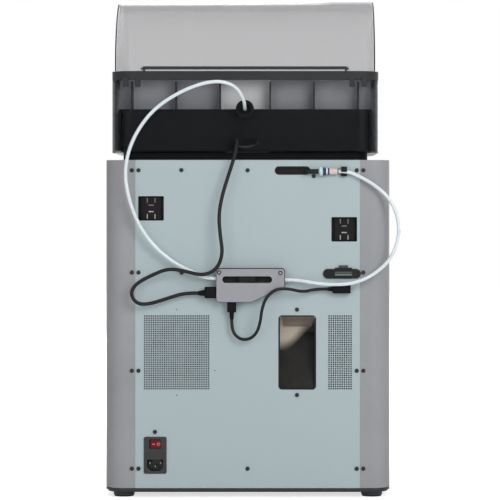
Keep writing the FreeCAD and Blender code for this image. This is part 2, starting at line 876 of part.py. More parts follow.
def seam_bracket(name, side, height):
    """A block behind a seam that takes the column's screw and the panel's screw."""
    inner = box(
        f"{name}_inner", mirrored((f"{seam} - bracket_reach", seam), side),
        (f"{rear_inner} - bracket_depth", rear_inner),
        (f"{height} - bracket_below", f"{height} + bracket_above"))
    outer = box(
        f"{name}_outer", mirrored((seam, f"{seam} + bracket_reach"), side),
        (f"{rear_inner} - bracket_depth", f"{rear_face} - panel_wall"),
        (f"{height} - bracket_below", f"{height} + bracket_above"))
    holes = screw_holes(
        f"{name}_hole", [(f"{side} * {column_out}", height), (f"{side} * {panel_out}", height)],
        (f"{rear_inner} - bracket_depth - 1", f"{rear_face}"))
    return cut(name, fuse(f"{name}_block", [inner, outer]), holes)


keep(group("seam_brackets", [
    seam_bracket(f"bracket_{a}_{b}", side, height)
    for a, side in enumerate((-1, 1)) for b, height in enumerate(seam_heights)
    if (side, height) != bare_spot]))


def screw(x, z, plane):
    """A socket screw in a rear-facing surface: round head with a hexagonal recess, and its shank."""
    face_plane = number(plane)
    back = Vector(0, -1, 0)
    head = Part.makeCylinder(
        number("screw_head"), number("head_height"),
        Vector(number(x), face_plane + number("head_height"), number(z)), back)
    shank = Part.makeCylinder(
        number("shank_radius"), number("shank_length"), Vector(number(x), face_plane, number(z)), back)
    reach = number("screw_head") / 2
    corners = [
        Vector(number(x) + reach * math.cos(math.radians(60 * turn)), face_plane + number("head_height") / 2,
               number(z) + reach * math.sin(math.radians(60 * turn)))
        for turn in range(7)]
    recess = Part.Face(Part.makePolygon(corners)).extrude(Vector(0, number("head_height"), 0))
    return head.fuse(shank).cut(recess)


rear_screws = doc.addObject("Part::Feature", "rear_screws")
rear_screws.Shape = Part.makeCompound(
    [screw(x, z, rear_face) for x, z in column_screws + seam_screws + panel_screws]
    + [screw(x, z, buffer_face) for x, z in buffer_screw_spots])
keep(rear_screws)


# ---- top ----
def top_frame():
    low = f"({case_top} - glass_gauge - top_frame_height)"
    high = f"({case_top} - glass_gauge)"
    ring = plate(
        "top_ring", "XY_Plane", low, "top_frame_height",
        ("rounded", "0", "0", "case_width - 2 * panel_wall", "case_depth - 2 * panel_wall",
         "case_corner - panel_wall"),
        ("rounded", "0", "0", "case_width - 2 * panel_wall - 2 * top_rail",
         "case_depth - 2 * panel_wall - 2 * top_rail", "8"))
    lip = box("top_rear_lip", ("-rear_panel_width / 2", seam), (f"{rear_inner} - 6", rear_inner), (low, high))
    passage = plate(
        "tube_passage", "XZ_Plane", f"{rear_face} + 1", "entry_depth + 2",
        ("capsule", "-entry_across", "entry_height", "entry_width", "entry_slot"))
    return cut("top_frame", fuse("top_whole", [ring, lip]), passage)


keep(top_frame())
keep(plate(
    "top_glass", "XY_Plane", f"{case_top} - glass_gauge", "glass_gauge",
    ("rounded", "0", "0", "case_width - 2 * panel_wall - 2 * glass_gap",
     "case_depth - 2 * panel_wall - 2 * glass_gap", "case_corner - panel_wall - glass_gap")))


# ---- front: frame, door and screen ----
front_plane = "(-case_depth / 2)"
door_side = "(door_half_width + door_margin)"


def front_frame():
    bezel = box(
        "front_bezel", ("-rear_panel_width / 2", seam),
        (front_plane, f"{front_plane} + panel_wall"), (panel_bottom, case_top))
    ring = box(
        "front_ring", ("-rear_panel_width / 2", seam), (front_plane, f"{front_plane} + front_depth"),
        ("door_bottom - door_stop_lap", "door_top + door_stop_lap"))
    recess = box(
        "door_recess", (f"-{door_side}", door_side),
        (f"{front_plane} - 1", f"{front_plane} + door_gauge + door_back_gap"),
        ("door_bottom - door_margin", "door_top + door_margin"))
    opening = box(
        "door_opening", ("door_stop_lap - door_half_width", "door_half_width - door_stop_lap"),
        (f"{front_plane} - 1", "0"), ("door_bottom + door_stop_lap", "door_top - door_stop_lap"))
    return cut("front_frame", fuse("front_whole", [bezel, ring]), recess, opening)


keep(front_frame())
keep(box(
    "door_glass", ("-door_half_width", "door_half_width"),
    (front_plane, f"{front_plane} + door_gauge"), ("door_bottom", "door_top")))
hinge_x = f"(-{door_side})"
hinge_y = f"({front_plane} - hinge_axis_gap)"
knuckle = "(hinge_length / 3)"


def hinge_parts(low):
    """One door hinge: the fixed leaf with two knuckles and the pin, and the door's leaf with one knuckle."""
    spot = (hinge_x, hinge_y)
    fixed = [
        cylinder(f"knuckle_{low}_{index}", "z", "knuckle_radius", span, spot)
        for index, span in enumerate([
            (low, f"{low} + {knuckle}"), (f"{low} + 2 * {knuckle}", f"{low} + hinge_length")])]
    leaves = [
        box(f"leaf_{low}_{index}", (f"{hinge_x} - leaf_width", hinge_x),
            (f"{front_plane} - leaf_gauge", front_plane), span)
        for index, span in enumerate([
            (low, f"{low} + {knuckle}"), (f"{low} + 2 * {knuckle}", f"{low} + hinge_length")])]
    spine = box(
        f"leaf_spine_{low}", (f"{hinge_x} - leaf_width", f"{hinge_x} - knuckle_radius - 1.5"),
        (f"{front_plane} - leaf_gauge", front_plane), (low, f"{low} + hinge_length"))
    pin = cylinder(f"hinge_pin_{low}", "z", "hinge_pin_radius", (low, f"{low} + hinge_length"), spot)
    return fuse(f"hinge_{low}", [*fixed, *leaves, spine, pin])


def door_leaf(low):
    span = (f"{low} + {knuckle} + 0.2", f"{low} + 2 * {knuckle} - 0.2")
    barrel = cylinder(f"door_knuckle_{low}", "z", "knuckle_radius", span, (hinge_x, hinge_y))
    arm = box(f"door_arm_{low}", (hinge_x, f"{hinge_x} + leaf_width"),
              (f"{front_plane} - leaf_gauge", front_plane), span)
    bore = cylinder(f"door_bore_{low}", "z", "hinge_pin_radius + axle_gap", (low, f"{low} + hinge_length"),
                    (hinge_x, hinge_y))
    return cut(f"door_leaf_{low}", fuse(f"door_leaf_whole_{low}", [barrel, arm]), bore)


hinge_lows = ["door_hinge_low", "door_hinge_high"]
keep(group("door_hinges", [hinge_parts(low) for low in hinge_lows]))


def door_fittings():
    reach = f"({front_plane} - handle_reach)"
    across = about("handle_across", "handle_width / 2")
    height = about("handle_centre_height", "handle_length / 2")
    solid = box("handle_block", across, (reach, front_plane), height)
    hollow = box(
        "handle_gap", (f"{across[0]} - 1", f"{across[1]} + 1"),
        (f"{reach} + handle_bar", f"{front_plane} + 1"),
        about("handle_centre_height", "handle_length / 2 - handle_bar"))
    return group("door_fittings", [cut("door_handle", solid, hollow), *map(door_leaf, hinge_lows)])


keep(door_fittings())
keep(plate(
    "touch_screen", "XZ_Plane", front_plane, "screen_depth",
    ("rounded", "0", "screen_centre_height", "screen_width", "screen_height", "4")))


# ---- motors behind the two windows ----
def motor(name, side, height):
    """Motor body with its plug block and pins at the window, hung from a plate on the side wall."""
    x = f"{side} * motor_across"
    back = f"({rear_inner} - motor_setback)"
    top = f"({height} + motor_length / 2)"
    body = box(
        f"{name}_body", about(x, "motor_side / 2"), (f"{back} - motor_side", back),
        about(height, "motor_length / 2"))
    plug = box(
        f"{name}_plug", about(x, "plug_width / 2"), (back, f"{back} + motor_setback / 2"),
        about(height, "plug_height / 2"))
    proud = (f"{back} + motor_setback / 2", f"{back} + motor_setback / 2 + 1")
    pins = [
        box(f"{name}_pin_{a}_{b}", about(f"{x} + {a} * pin_across", "0.6"), proud,
            about(f"{height} + {b} * pin_rise", "pin_length / 2"))
        for a in (-1, 1) for b in (-1, 1)]
    ridges = [
        box(f"{name}_ridge_{b}", about(x, "ridge_width / 2"), proud,
            about(f"{height} + {b} * ridge_rise", "0.7"))
        for b in (-1, 1)]
    shelf = box(
        f"{name}_shelf", mirrored(("motor_across - motor_side / 2", shell_inner_x), side),
        (f"{back} - motor_side", back), (top, f"{top} + motor_plate"))
    shaft_hole = cylinder(
        f"{name}_hole", "z", "motor_shaft + 1", (f"{top} - 1", f"{top} + motor_plate + 1"),
        (x, f"{back} - motor_side / 2"))
    trimmed = inside_shell(name, shelf, (top, f"{top} + motor_plate"))
    return [body, plug, *pins, *ridges, cut(f"{name}_plate", trimmed, shaft_hole)]


motor_heights = {1: "right_motor_height", -1: "left_motor_height"}
belt_heights = {1: "right_belt_height", -1: "left_belt_height"}
motor_axis_y = f"({rear_inner} - motor_setback - motor_side / 2)"
side_names = {1: "right", -1: "left"}
keep(group("xy_motors", [
    solid for side in (1, -1) for solid in motor(f"motor_{side_names[side]}", side, motor_heights[side])]))


def pulley(name, side):
    """The toothed pulley with its shaft, which turns as one."""
    spot = (f"{side} * motor_across", motor_axis_y)
    level = belt_heights[side]
    shaft = cylinder(
        f"{name}_shaft", "z", "motor_shaft",
        (f"{motor_heights[side]} + motor_length / 2 + 0.2", f"{level} + pulley_height + 2"), spot)
    wheel = cylinder(f"{name}_wheel", "z", "pulley_radius", (level, f"{level} + pulley_height"), spot)
    flange = cylinder(f"{name}_flange", "z", "pulley_radius + 2", (f"{level} - 1.5", f"{level} - 0.3"), spot)
    grub = cylinder(f"{name}_hub", "z", "pulley_radius - 1", (f"{level} - 1.5", f"{level} + 1"), spot)
    return fuse(name, [shaft, wheel, flange, grub])


for side in (1, -1):
    keep(pulley(f"motor_pulley_{side_names[side]}", side))


def belt(side):
    """A flat belt loop from the motor pulley to its idler at the front."""
    name = f"belt_{side_names[side]}"
    x = f"({side} * motor_across)"
    level = belt_heights[side]
    span = (level, f"{level} + pulley_height")
    ends = ("-idler_plane", motor_axis_y)
    inner = "(pulley_radius + running_gap)"
    outer = f"({inner} + belt_thick)"

    def stadium(label, radius, grow):
        tall = (f"{span[0]} - {grow}", f"{span[1]} + {grow}")
        rounds = [cylinder(f"{label}_{index}", "z", radius, tall, (x, y)) for index, y in enumerate(ends)]
        return fuse(label, [*rounds, box(f"{label}_run", about(x, radius), ends, tall)])

    loop = cut(f"{name}_loop", stadium(f"{name}_outer", outer, "0"), stadium(f"{name}_inner", inner, "1"))
    idler = fuse(f"{name}_idler", [
        cylinder(f"{name}_wheel", "z", "pulley_radius + running_gap / 2", span, (x, ends[0])),
        cylinder(f"{name}_post", "z", "motor_shaft", (level, f"{case_top} - glass_gauge - top_frame_height"),
                 (x, ends[0]))])
    return [loop, idler]


keep(group("drive_belts", belt(1) + belt(-1)))


# ---- power inlet ----
rocker_z = "(inlet_height + rocker_rise)"
rocker_y = f"({rear_face} - 2)"
socket_z = "(inlet_height - socket_drop)"


def socket_outline(gap):
    """The inlet socket's outline: a rectangle with its two lower corners cut off."""
    half = f"(socket_width / 2 - {gap})"
    top = f"{socket_z} + socket_height / 2 - {gap}"
    low = f"{socket_z} - socket_height / 2 + {gap}"
    slope = "(socket_height / 3)"
    return [
        (f"inlet_across - {half}", top), (f"inlet_across - {half}", f"{low} + {slope}"),
        (f"inlet_across - {half} + {slope}", low), (f"inlet_across + {half} - {slope}", low),
        (f"inlet_across + {half}", f"{low} + {slope}"), (f"inlet_across + {half}", top)]


def power_inlet():
    flange = plate(
        "inlet_flange", "XZ_Plane", f"{rear_face} + inlet_proud", "inlet_proud",
        ("rounded", "inlet_across", "inlet_height", "inlet_width", "inlet_length", "inlet_corner"))
    body = plate(
        "inlet_body", "XZ_Plane", rear_face, "inlet_body_depth",
        ("rounded", "inlet_across", "inlet_height", "inlet_body_width - 2 * hole_gap",
         "inlet_body_length - 2 * hole_gap", "inlet_corner - hole_gap"))
    hollow = plate(
        "inlet_hollow", "XZ_Plane", f"{rear_face} + inlet_proud + 1", "socket_depth + 1",
        ("path", socket_outline("0")))
    pocket = box(
        "rocker_pocket", about("inlet_across", "rocker_width / 2 + rocker_gap"),
        (f"{rear_face} - 8", f"{rear_face} + inlet_proud + 1"),
        about(rocker_z, "rocker_height / 2 + rocker_gap"))
    pivot = cylinder(
        "rocker_bore", "z", "1 + axle_gap", about(rocker_z, "rocker_height / 2 + rocker_gap + 1.5"),
        ("inlet_across", rocker_y))
    shell = cut("inlet_shell", fuse("inlet_whole", [flange, body]), hollow, pocket, pivot)
    pins = [
        box(f"inlet_pin_{index}", about(f"inlet_across + {dx}", "1"),
            (f"{rear_face} + inlet_proud - socket_depth", f"{rear_face} - 3"),
            about(f"{socket_z} + {dz}", "2"))
        for index, (dx, dz) in enumerate([("7.4", "2.8"), ("-7.4", "2.8"), ("0", "-1.9")])]
    return group("power_inlet", [shell, *pins])


keep(power_inlet())


def power_rocker():
    """The rocker: a roof-shaped key that leans by its tilt, on a cross pin."""
    half = "(rocker_width / 2 - rocker_gap)"
    key = plate(
        "rocker_key", "XY_Plane", f"{rocker_z} - rocker_height / 2 + rocker_gap",
        "rocker_height - 2 * rocker_gap",
        ("path", [(f"-{half}", "-2"), (half, "-2"), (half, "3.6"), ("0", "4.8"), (f"-{half}", "3.6")]))
    key.Placement.Rotation = Rotation(Vector(0, 0, 1), number("rocker_tilt"))
    bind(key, "Placement.Rotation.Angle", "rocker_tilt")
    bind(key, "Placement.Base.x", "inlet_across")
    bind(key, "Placement.Base.y", rocker_y)
    pin = cylinder(
        "rocker_pin", "z", "1", about(rocker_z, "rocker_height / 2 + rocker_gap + 1.3"),
        ("inlet_across", rocker_y))
    return fuse("power_rocker", [key, pin])


keep(power_rocker())


# ---- waste chute ----
def waste_chute():
    x = "(-chute_across)"
    width = "(chute_width - 2 * hole_gap)"
    length = "(chute_length - 2 * hole_gap)"
    inner_width = f"({width} - 2 * chute_wall)"
    inner_length = f"({length} - 2 * chute_wall)"
    low = f"(chute_centre_height - {inner_length} / 2)"
    high = f"(chute_centre_height + {inner_length} / 2)"
    back = f"({rear_face} - chute_depth)"
    shell = plate(
        "chute_shell", "XZ_Plane", rear_face, "chute_depth",
        ("rounded", x, "chute_centre_height", width, length, "chute_corner - hole_gap"))
    hollow = plate(
        "chute_hollow", "XZ_Plane", f"{rear_face} + 1", "chute_depth - chute_wall + 1",
        ("rounded", x, "chute_centre_height", inner_width, inner_length, "chute_corner - chute_wall"))
    slide = plate(
        "chute_slide", "YZ_Plane", f"{x} - {inner_width} / 2 - 1", f"{inner_width} + 2",
        ("path", [(f"{back} + 1", f"{low} - 1"), (f"{rear_face} - 3", f"{low} - 1"),
                  (f"{rear_face} - 3", f"{low} + 1"), (f"{back} + 1", f"{high} - 20")]))
    mouth = box(
        "chute_mouth", about(x, f"{inner_width} / 2 - 4"), (f"{back} - 1", f"{back} + chute_wall + 1"),
        (f"{high} - 15", f"{high} - 3"))
    return cut("waste_chute", shell, cut("chute_space", hollow, slide), mouth)


keep(waste_chute())


# ---- tube entry, coupler and clip ----
coupler_y = f"({rear_face} + coupler_standoff)"
coupler_steps = ["sleeve", "collar", "band", "neck", "barrel"]


def tube_coupler():
    """The capsule plug in the rear panel, the stepped coupler that leaves it, and the tube's clip."""
    x = "(-entry_across)"
    width = "(entry_width - 2 * hole_gap)"
    slot = "(entry_slot - 2 * hole_gap)"
    plug = plate(
        "entry_plug", "XZ_Plane", rear_face, "entry_depth", ("capsule", x, "entry_height", width, slot))
    recess = plate(
        "entry_recess", "XZ_Plane", f"{rear_face} + 1", "entry_depth - 0.5",
        ("capsule", x, "entry_height", f"{width} - 4", f"{slot} - 4"))
    elbow = box(
        "coupler_elbow", ("-coupler_start", "elbow_length - coupler_start"),
        (rear_face, f"{coupler_y} + elbow_half"), about("coupler_height", "elbow_half"))
    steps = []
    start = "-coupler_start"
    for part in coupler_steps:
        end = f"{start} - {part}_length"
        steps.append(cylinder(
            f"coupler_{part}", "x", f"{part}_radius", (end, start), (coupler_y, "coupler_height")))
        start = end
    far = "(-coupler_start - tube_clip_lead - tube_clip_length)"
    near = "(-coupler_start - tube_clip_lead)"
    past = (f"{far} - 1", f"{near} + 1")
    tube_level = "(coupler_height - tube_clip_sink)"
    block = box("tube_clip_block", (far, near), (rear_face, f"{coupler_y} + tube_clip_reach"),
                about("coupler_height", "tube_clip_half"))
    gap = cylinder("tube_clip_bore", "x", "tube_radius + tube_clip_gap", past, (coupler_y, tube_level))
    mouth = box("tube_clip_mouth", past, (coupler_y, f"{coupler_y} + tube_clip_reach + 1"),
                ("coupler_height - tube_clip_half - 1", tube_level))
    clip = cut("tube_clip", block, gap, mouth)
    body = fuse("coupler_body", [cut("entry_cup", plug, recess), elbow, *steps])
    return group("tube_coupler", [body, clip])


keep(tube_coupler())


# ---- port cover ----
def port_cover():
    x = "(-port_across)"
    inner_x = "(port_shift * -1 - port_across)"
    face = f"({rear_face} + port_proud)"
    frame = plate(
        "port_frame", "XZ_Plane", face, "port_proud",
        ("capsule", x, "port_height", "port_width", "port_slot"))
    brow = box("port_brow", about(inner_x, "port_brow_half"), (rear_face, face),
               ("port_height + port_brow_rise / 2", "port_height + port_brow_rise"))
    tab = box("port_tab", about(inner_x, "port_tab_half"), (rear_face, face),
              ("port_height + port_brow_rise", "port_height + port_tab_rise"))
    recess = plate(
        "port_recess", "XZ_Plane", f"{face} + 1", "port_proud",
        ("capsule", x, "port_height", "port_width - 2 * port_rim", "port_slot - 2 * port_lip"))
    connector = box(
        "port_connector", about(inner_x, "port_connector_half"), (f"{rear_face} + 1", f"{face} - 0.5"),
        about("port_height", "port_connector_rise"))
    return group("port_cover", [cut("port_shell", fuse("port_whole", [frame, brow, tab]), recess), connector])


keep(port_cover())


# ---- filament buffer ----
def buffer_outline(step):
    """The buffer's outline, inset by a step: a rectangle with its lower left corner cut off."""
    return [
        (f"buffer_right - {step}", f"buffer_top - {step}"),
        (f"buffer_right - {step}", f"buffer_bottom + {step}"),
        (f"{step} / 2 - buffer_cut_across", f"buffer_bottom + {step}"),
        (f"{step} - buffer_left", f"buffer_cut_height + {step} / 2"),
        (f"{step} - buffer_left", f"buffer_top - {step}")]


def buffer_plate(name, plane, depth, step):
    """A plate of the buffer's outline, with the other corners rounded."""
    blank = plate(f"{name}_blank", "XZ_Plane", plane, depth, ("path", buffer_outline(step)))
    rounding = plate(
        f"{name}_rounding", "XZ_Plane", plane, depth,
        ("rounded", "(buffer_right - buffer_left) / 2", "(buffer_top + buffer_bottom) / 2",
         f"buffer_right + buffer_left - 2 * {step}", f"buffer_top - buffer_bottom - 2 * {step}",
         f"buffer_corner - {step}"))
    return common(f"{name}_plate", blank, rounding)


slot_middle = "((buffer_right - buffer_left) / 2 + slot_shift)"
slot_shape = ("capsule", slot_middle, "slot_centre_height", "slot_length", "slot_width")
cover_plane = f"({rear_face} + buffer_base_depth)"
keep(cut(
    "buffer_base", buffer_plate("buffer_tray", cover_plane, "buffer_base_depth", "0"),
    plate("buffer_tray_slot", "XZ_Plane", f"{cover_plane} + 1", "slot_depth", slot_shape)))


def buffer_cover():
    cap = buffer_plate("buffer_cap", buffer_face, "buffer_depth - buffer_base_depth", "buffer_step")
    slot = plate("buffer_slot", "XZ_Plane", f"{buffer_face} + 1", "buffer_depth - buffer_base_depth + 2",
                 slot_shape)
    holes = group("buffer_holes", [
        cylinder(f"buffer_hole_{index}", "y", "shank_radius + hole_gap",
                 (f"{buffer_face} - 6", f"{buffer_face} + 1"), spot)
        for index, spot in enumerate(buffer_screw_spots)])
    return cut("buffer_cover", cap, slot, holes)


keep(buffer_cover())
keep(box(
    "buffer_slider", about(slot_middle, "slider_length / 2"),
    (f"{cover_plane} - slider_sink", f"{buffer_face} - slider_drop"),
    about("slot_centre_height", "slot_width / 2 - slider_gap")))


# ---- chamber back, electronics and fan ----
keep(plate(
    "chamber_back", "XZ_Plane", "chamber_back_plane", "sheet_gauge",
    ("rounded", "0", f"({base_top} + chamber_back_top) / 2",
     "case_width - 2 * panel_wall - 2 * upstand_wall", f"chamber_back_top - {base_top}", "2"),
    ("rounded", "vent_across", "vent_centre_height", "fan_side", "fan_side", "4"),
    ("rounded", "-chute_across", "chute_centre_height + chute_length / 2 - 11",
     "chute_width - 10", "16", "2")))
keep(box(
    "power_supply", ("-supply_left", "supply_right"), ("chamber_back_plane", f"{rear_inner} - supply_gap"),
    ("supply_bottom", "supply_top")))


chip_names = ["processor", "memory", "coil", "capacitor"]


def mainboard():
    lift = "(chamber_back_plane + board_standoff)"
    face = f"({lift} + board_gauge)"
    board = box("board_plate", ("-board_left", "board_right"), (lift, face), ("board_bottom", "board_top"))
    feet = [
        cylinder(f"board_foot_{a}_{b}", "y", "board_foot_radius", ("chamber_back_plane", lift), (x, z))
        for a, x in enumerate(("board_foot_inset - board_left", "board_right - board_foot_inset"))
        for b, z in enumerate(("board_bottom + board_foot_inset", "board_top - board_foot_inset"))]
    chips = [
        box(f"board_{chip}", about(f"{chip}_across - board_left", f"{chip}_half"),
            (face, f"{face} + {chip}_height"),
            about(f"board_bottom + {chip}_rise", f"{chip}_half"))
        for chip in chip_names]
    return group("mainboard", [fuse("board", [board, *feet]), *chips])


keep(mainboard())
chamber_back_front = "(chamber_back_plane - sheet_gauge)"


def air_filter():
    """The carbon filter over the duct's mouth: a frame and the block it holds."""
    frame = plate(
        "filter_frame", "XZ_Plane", chamber_back_front, "filter_depth",
        ("rounded", "vent_across", "vent_centre_height", "filter_side", "filter_side", "4"),
        ("rounded", "vent_across", "vent_centre_height", "filter_side - 2 * filter_rim",
         "filter_side - 2 * filter_rim", "1"))
    block = plate(
        "filter_block", "XZ_Plane", chamber_back_front, "filter_depth - filter_sink",
        ("rounded", "vent_across", "vent_centre_height", "filter_side - 2 * filter_rim",
         "filter_side - 2 * filter_rim", "1"))
    return group("air_filter", [frame, block])


keep(air_filter())
fan_front = "(chamber_back_plane)"
fan_spot = ("vent_across", "vent_centre_height")
fan_end = f"({rear_inner} - 3)"


def fan_frame():
    """The duct from the chamber to the vent, with the fan's bearing on three spokes."""
    block = box(
        "fan_block", about("vent_across", "fan_side / 2"), (fan_front, fan_end),
        about("vent_centre_height", "fan_side / 2"))
    bore = cylinder("fan_bore", "y", "fan_bore", (f"{fan_front} - 1", f"{fan_end} + 1"), fan_spot)
    ring = cut("fan_ring", block, bore)
    hub = cylinder("fan_hub", "y", "hub_radius", (fan_front, f"{fan_front} + 4"), fan_spot)
    spokes = [
        box("fan_spoke_0", about("vent_across", "2"), (fan_front, f"{fan_front} + 3"),
            about("vent_centre_height", "fan_bore + 1")),
        box("fan_spoke_1", about("vent_across", "fan_bore + 1"), (fan_front, f"{fan_front} + 3"),
            about("vent_centre_height", "2"))]
    axle = cylinder("fan_pin", "y", "fan_axle", (fan_front, f"{fan_front} + 20"), fan_spot)
    return fuse("fan_frame", [ring, hub, *spokes, axle])


keep(fan_frame())


def exhaust_rotor():
    """The hub cup with seven swept blades, bored for the fan's pin."""
    start = number(fan_front) + 5
    depth = 18
    hub_r = number("hub_radius")
    tip_r = number("rotor_radius")
    middle = Vector(number("vent_across"), start, number("vent_centre_height"))
    solid = Part.makeCylinder(hub_r, depth, middle, Vector(0, 1, 0))
    for turn in range(7):
        blade = Part.makeBox(2, depth - 4, tip_r - hub_r + 2, Vector(-1, 2, hub_r - 2))
        blade.rotate(Vector(0, depth / 2, 0), Vector(0, 0, 1), 32)
        blade.rotate(Vector(0, 0, 0), Vector(0, 1, 0), 360 * turn / 7)
        blade.translate(middle)
        solid = solid.fuse(blade)
    envelope = Part.makeCylinder(tip_r, depth, middle, Vector(0, 1, 0))
    pin = Part.makeCylinder(
        number("fan_axle + axle_gap"), depth + 2, middle - Vector(0, 1, 0), Vector(0, 1, 0))
    return solid.common(envelope).cut(pin).removeSplitter()


rotor = doc.addObject("Part::Feature", "exhaust_rotor")
rotor.Shape = exhaust_rotor()
keep(rotor)


# ---- motion system ----
def guide_rods():
    """Side rods in their end blocks, and the bed's rods with the upper bearings of bed rods and screws."""
    solids = []
    for side in (1, -1):
        tag = side_names[side]
        x = f"{side} * side_rod_across"
        end = shell_inner_y
        solids.append(cylinder(
            f"side_rod_{tag}", "y", "side_rod_radius", (f"-({end} - 4)", f"{end} - 4"), (x, "rail_height")))
        for index, span in enumerate([(f"{end} - rod_holder", end), (f"-({end})", f"rod_holder - {end}")]):
            block = box(
                f"rod_block_{tag}_{index}", mirrored(("side_rod_across - 9", shell_inner_x), side), span,
                about("rail_height", "10"))
            trimmed = inside_shell(f"rod_block_{tag}_{index}", block, about("rail_height", "10"))
            bore = cylinder(
                f"rod_bore_{tag}_{index}", "y", "side_rod_radius", (f"-({end} - 4)", f"{end} - 4"),
                (x, "rail_height"))
            solids.append(cut(f"rod_holder_{tag}_{index}", trimmed, bore))
        for kind, y, radius in (("screw", "screw_plane", "screw_radius + axle_gap"),
                                ("rod", "-screw_plane", "bed_rod_radius")):
            arm = box(
                f"{kind}_arm_{tag}", mirrored(("screw_across - 10", shell_inner_x), side), about(y, "10"),
                ("screw_top - 8", "screw_top"))
            bore = cylinder(
                f"{kind}_arm_bore_{tag}", "z", radius, ("screw_top - 9", "screw_top + 1"),
                (f"{side} * screw_across", y))
            solids.append(cut(f"{kind}_bearing_{tag}", arm, bore))
        solids.append(cylinder(
            f"bed_rod_{tag}", "z", "bed_rod_radius", (f"{base_top} + 1", "screw_top"),
            (f"{side} * screw_across", "-screw_plane")))
    return group("guide_rods", solids)


keep(guide_rods())
for side in (1, -1):
    keep(cylinder(
        f"lead_screw_{side_names[side]}", "z", "screw_radius", (f"{base_top} + 1.2", "screw_top + 3"),
        (f"{side} * screw_across", "screw_plane")))


def bed_frame():
    low = "(bed_rest_height - bed_thick)"
    table = box(
        "bed_table", about("0", "bed_half_width"), about("0", "bed_half_depth"), (low, "bed_rest_height"))
    arms, bores = [], []
    for side in (1, -1):
        for y, radius in (("screw_plane", "screw_radius"), ("-screw_plane", "bed_rod_radius")):
            tag = f"{side_names[side]}_{radius}"
            arms.append(box(
                f"bed_arm_{tag}", mirrored(("bed_half_width - 10", "screw_across + bed_arm_half"), side),
                about(y, "bed_arm_half"), ("bed_rest_height - bed_arm_drop", low)))
            bores.append(cylinder(
                f"bed_bore_{tag}", "z", f"{radius} + running_gap",
                ("bed_rest_height - bed_arm_drop - 1", f"{low} + 1"),
                (f"{side} * screw_across", y)))
    return cut("bed_frame", fuse("bed_whole", [table, *arms]), *bores)


keep(bed_frame())
keep(plate(
    "build_plate", "XY_Plane", "bed_rest_height", "plate_thick",
    ("rounded", "0", "0", "2 * (bed_half_width + plate_lap)", "2 * (bed_half_depth + plate_lap)", "5")))


def gantry():
    """Two carriages on the side rods, joined by the two cross rods."""
    blocks, bores = [], []
    for side in (1, -1):
        x = f"{side} * side_rod_across"
        blocks.append(box(
            f"carriage_{side_names[side]}",
            about(x, "carriage_half_width"), about("0", "carriage_half_length"),
            about("rail_height", "carriage_half_height")))
        bores.append(cylinder(
            f"carriage_bore_{side_names[side]}", "y", "side_rod_radius + running_gap",
            about("0", "carriage_half_length + 1"), (x, "rail_height")))
    reach = "(side_rod_across - carriage_half_width)"
    rods = [
        cylinder(
            f"cross_rod_{index}", "x", "cross_rod_radius",
            (f"-{reach} - 3", f"{reach} + 3"), (y, "rail_height"))
        for index, y in enumerate(("cross_rod_half_gap", "-cross_rod_half_gap"))]
    return cut("gantry", fuse("gantry_whole", blocks + rods), *bores)


keep(gantry())


def toolhead():
    block = box(
        "toolhead_block", about("0", "toolhead_half_width"), about("0", "toolhead_half_depth"),
        ("toolhead_bottom", "toolhead_top"))
    bores = [
        cylinder(f"toolhead_bore_{index}", "x", "cross_rod_radius + running_gap",
                 about("0", "toolhead_half_width + 1"), (y, "rail_height"))
        for index, y in enumerate(("cross_rod_half_gap", "-cross_rod_half_gap"))]
    nozzle = fuse("nozzle", [
        cylinder("nozzle_block", "z", "8", ("toolhead_bottom - nozzle_block", "toolhead_bottom"), ("0", "0")),
        cone("nozzle_cone", "z", ("0.6", "5"), (
            "toolhead_bottom - nozzle_block - nozzle_length", "toolhead_bottom - nozzle_block"), ("0", "0"))])
    return group("toolhead", [cut("toolhead_body", block, *bores), nozzle])


keep(toolhead())


# ---- filament feeder: tub, rim and plinth ----
keep(plate(
    "feeder_plinth", "XY_Plane", case_top, "plinth_height",
    ("rounded", "feeder_across", "feeder_centre", "feeder_width - 2 * plinth_inset",
     "feeder_depth - 2 * plinth_inset", "feeder_corner - plinth_inset / 2")))


def feeder_outline(inset):
    return ("rounded", "feeder_across", "feeder_centre", f"feeder_width - 2 * ({inset})",
            f"feeder_depth - 2 * ({inset})", f"feeder_corner - ({inset})")


tub_outer = plate("tub_outer", "XY_Plane", tub_bottom, "tub_height", feeder_outline("0"))
outlet_spot = ("feeder_across", "outlet_height")
spare_x = "(feeder_across + spare_socket_across)"
used_x = "(feeder_across + feeder_socket_across)"


def spare_hole(name):
    """The space of the empty cable socket, through its housing and the tub's wall."""
    return box(name, about(spare_x, "4"), (f"{feeder_back} - feeder_wall - 1", f"{feeder_back} + 10"),
               about("feeder_socket_height", "3"))


def feeder_tub():
    inner = plate("tub_inner", "XY_Plane", tub_floor, "tub_height", feeder_outline("feeder_wall"))
    tube_hole = cylinder(
        "tub_tube_hole", "y", "outlet_cup",
        (f"{feeder_back} - feeder_wall - 1", f"{feeder_back} + 1"), outlet_spot)
    return cut("feeder_tub", tub_outer, inner, tube_hole, spare_hole("tub_spare_hole"))


keep(feeder_tub())


def feeder_rim():
    """The dark band that closes the tub's edge, with clips that hang over the wall."""
    ring = plate(
        "rim_ring", "XY_Plane", tub_top, "rim_height", feeder_outline("0"), feeder_outline("rim_width"))
    front = f"(feeder_centre - feeder_depth / 2)"
    clips = []
    for a, across in enumerate(("inner_clip_across", "outer_clip_across")):
        for side in (1, -1):
            x = f"feeder_across + {side} * {across}"
            for b, span in enumerate([(f"{feeder_back} - 4", f"{feeder_back} + clip_proud"),
                                      (f"{front} - clip_proud", f"{front} + 4")]):
                clips.append(box(
                    f"clip_{a}_{b}_{side_names[side]}", about(x, "clip_width / 2"), span,
                    (f"{tub_top} - clip_drop", f"{tub_top} + 4")))
    return fuse("feeder_rim", [ring, cut("rim_clips", fuse("clip_blanks", clips), tub_outer)])


keep(feeder_rim())

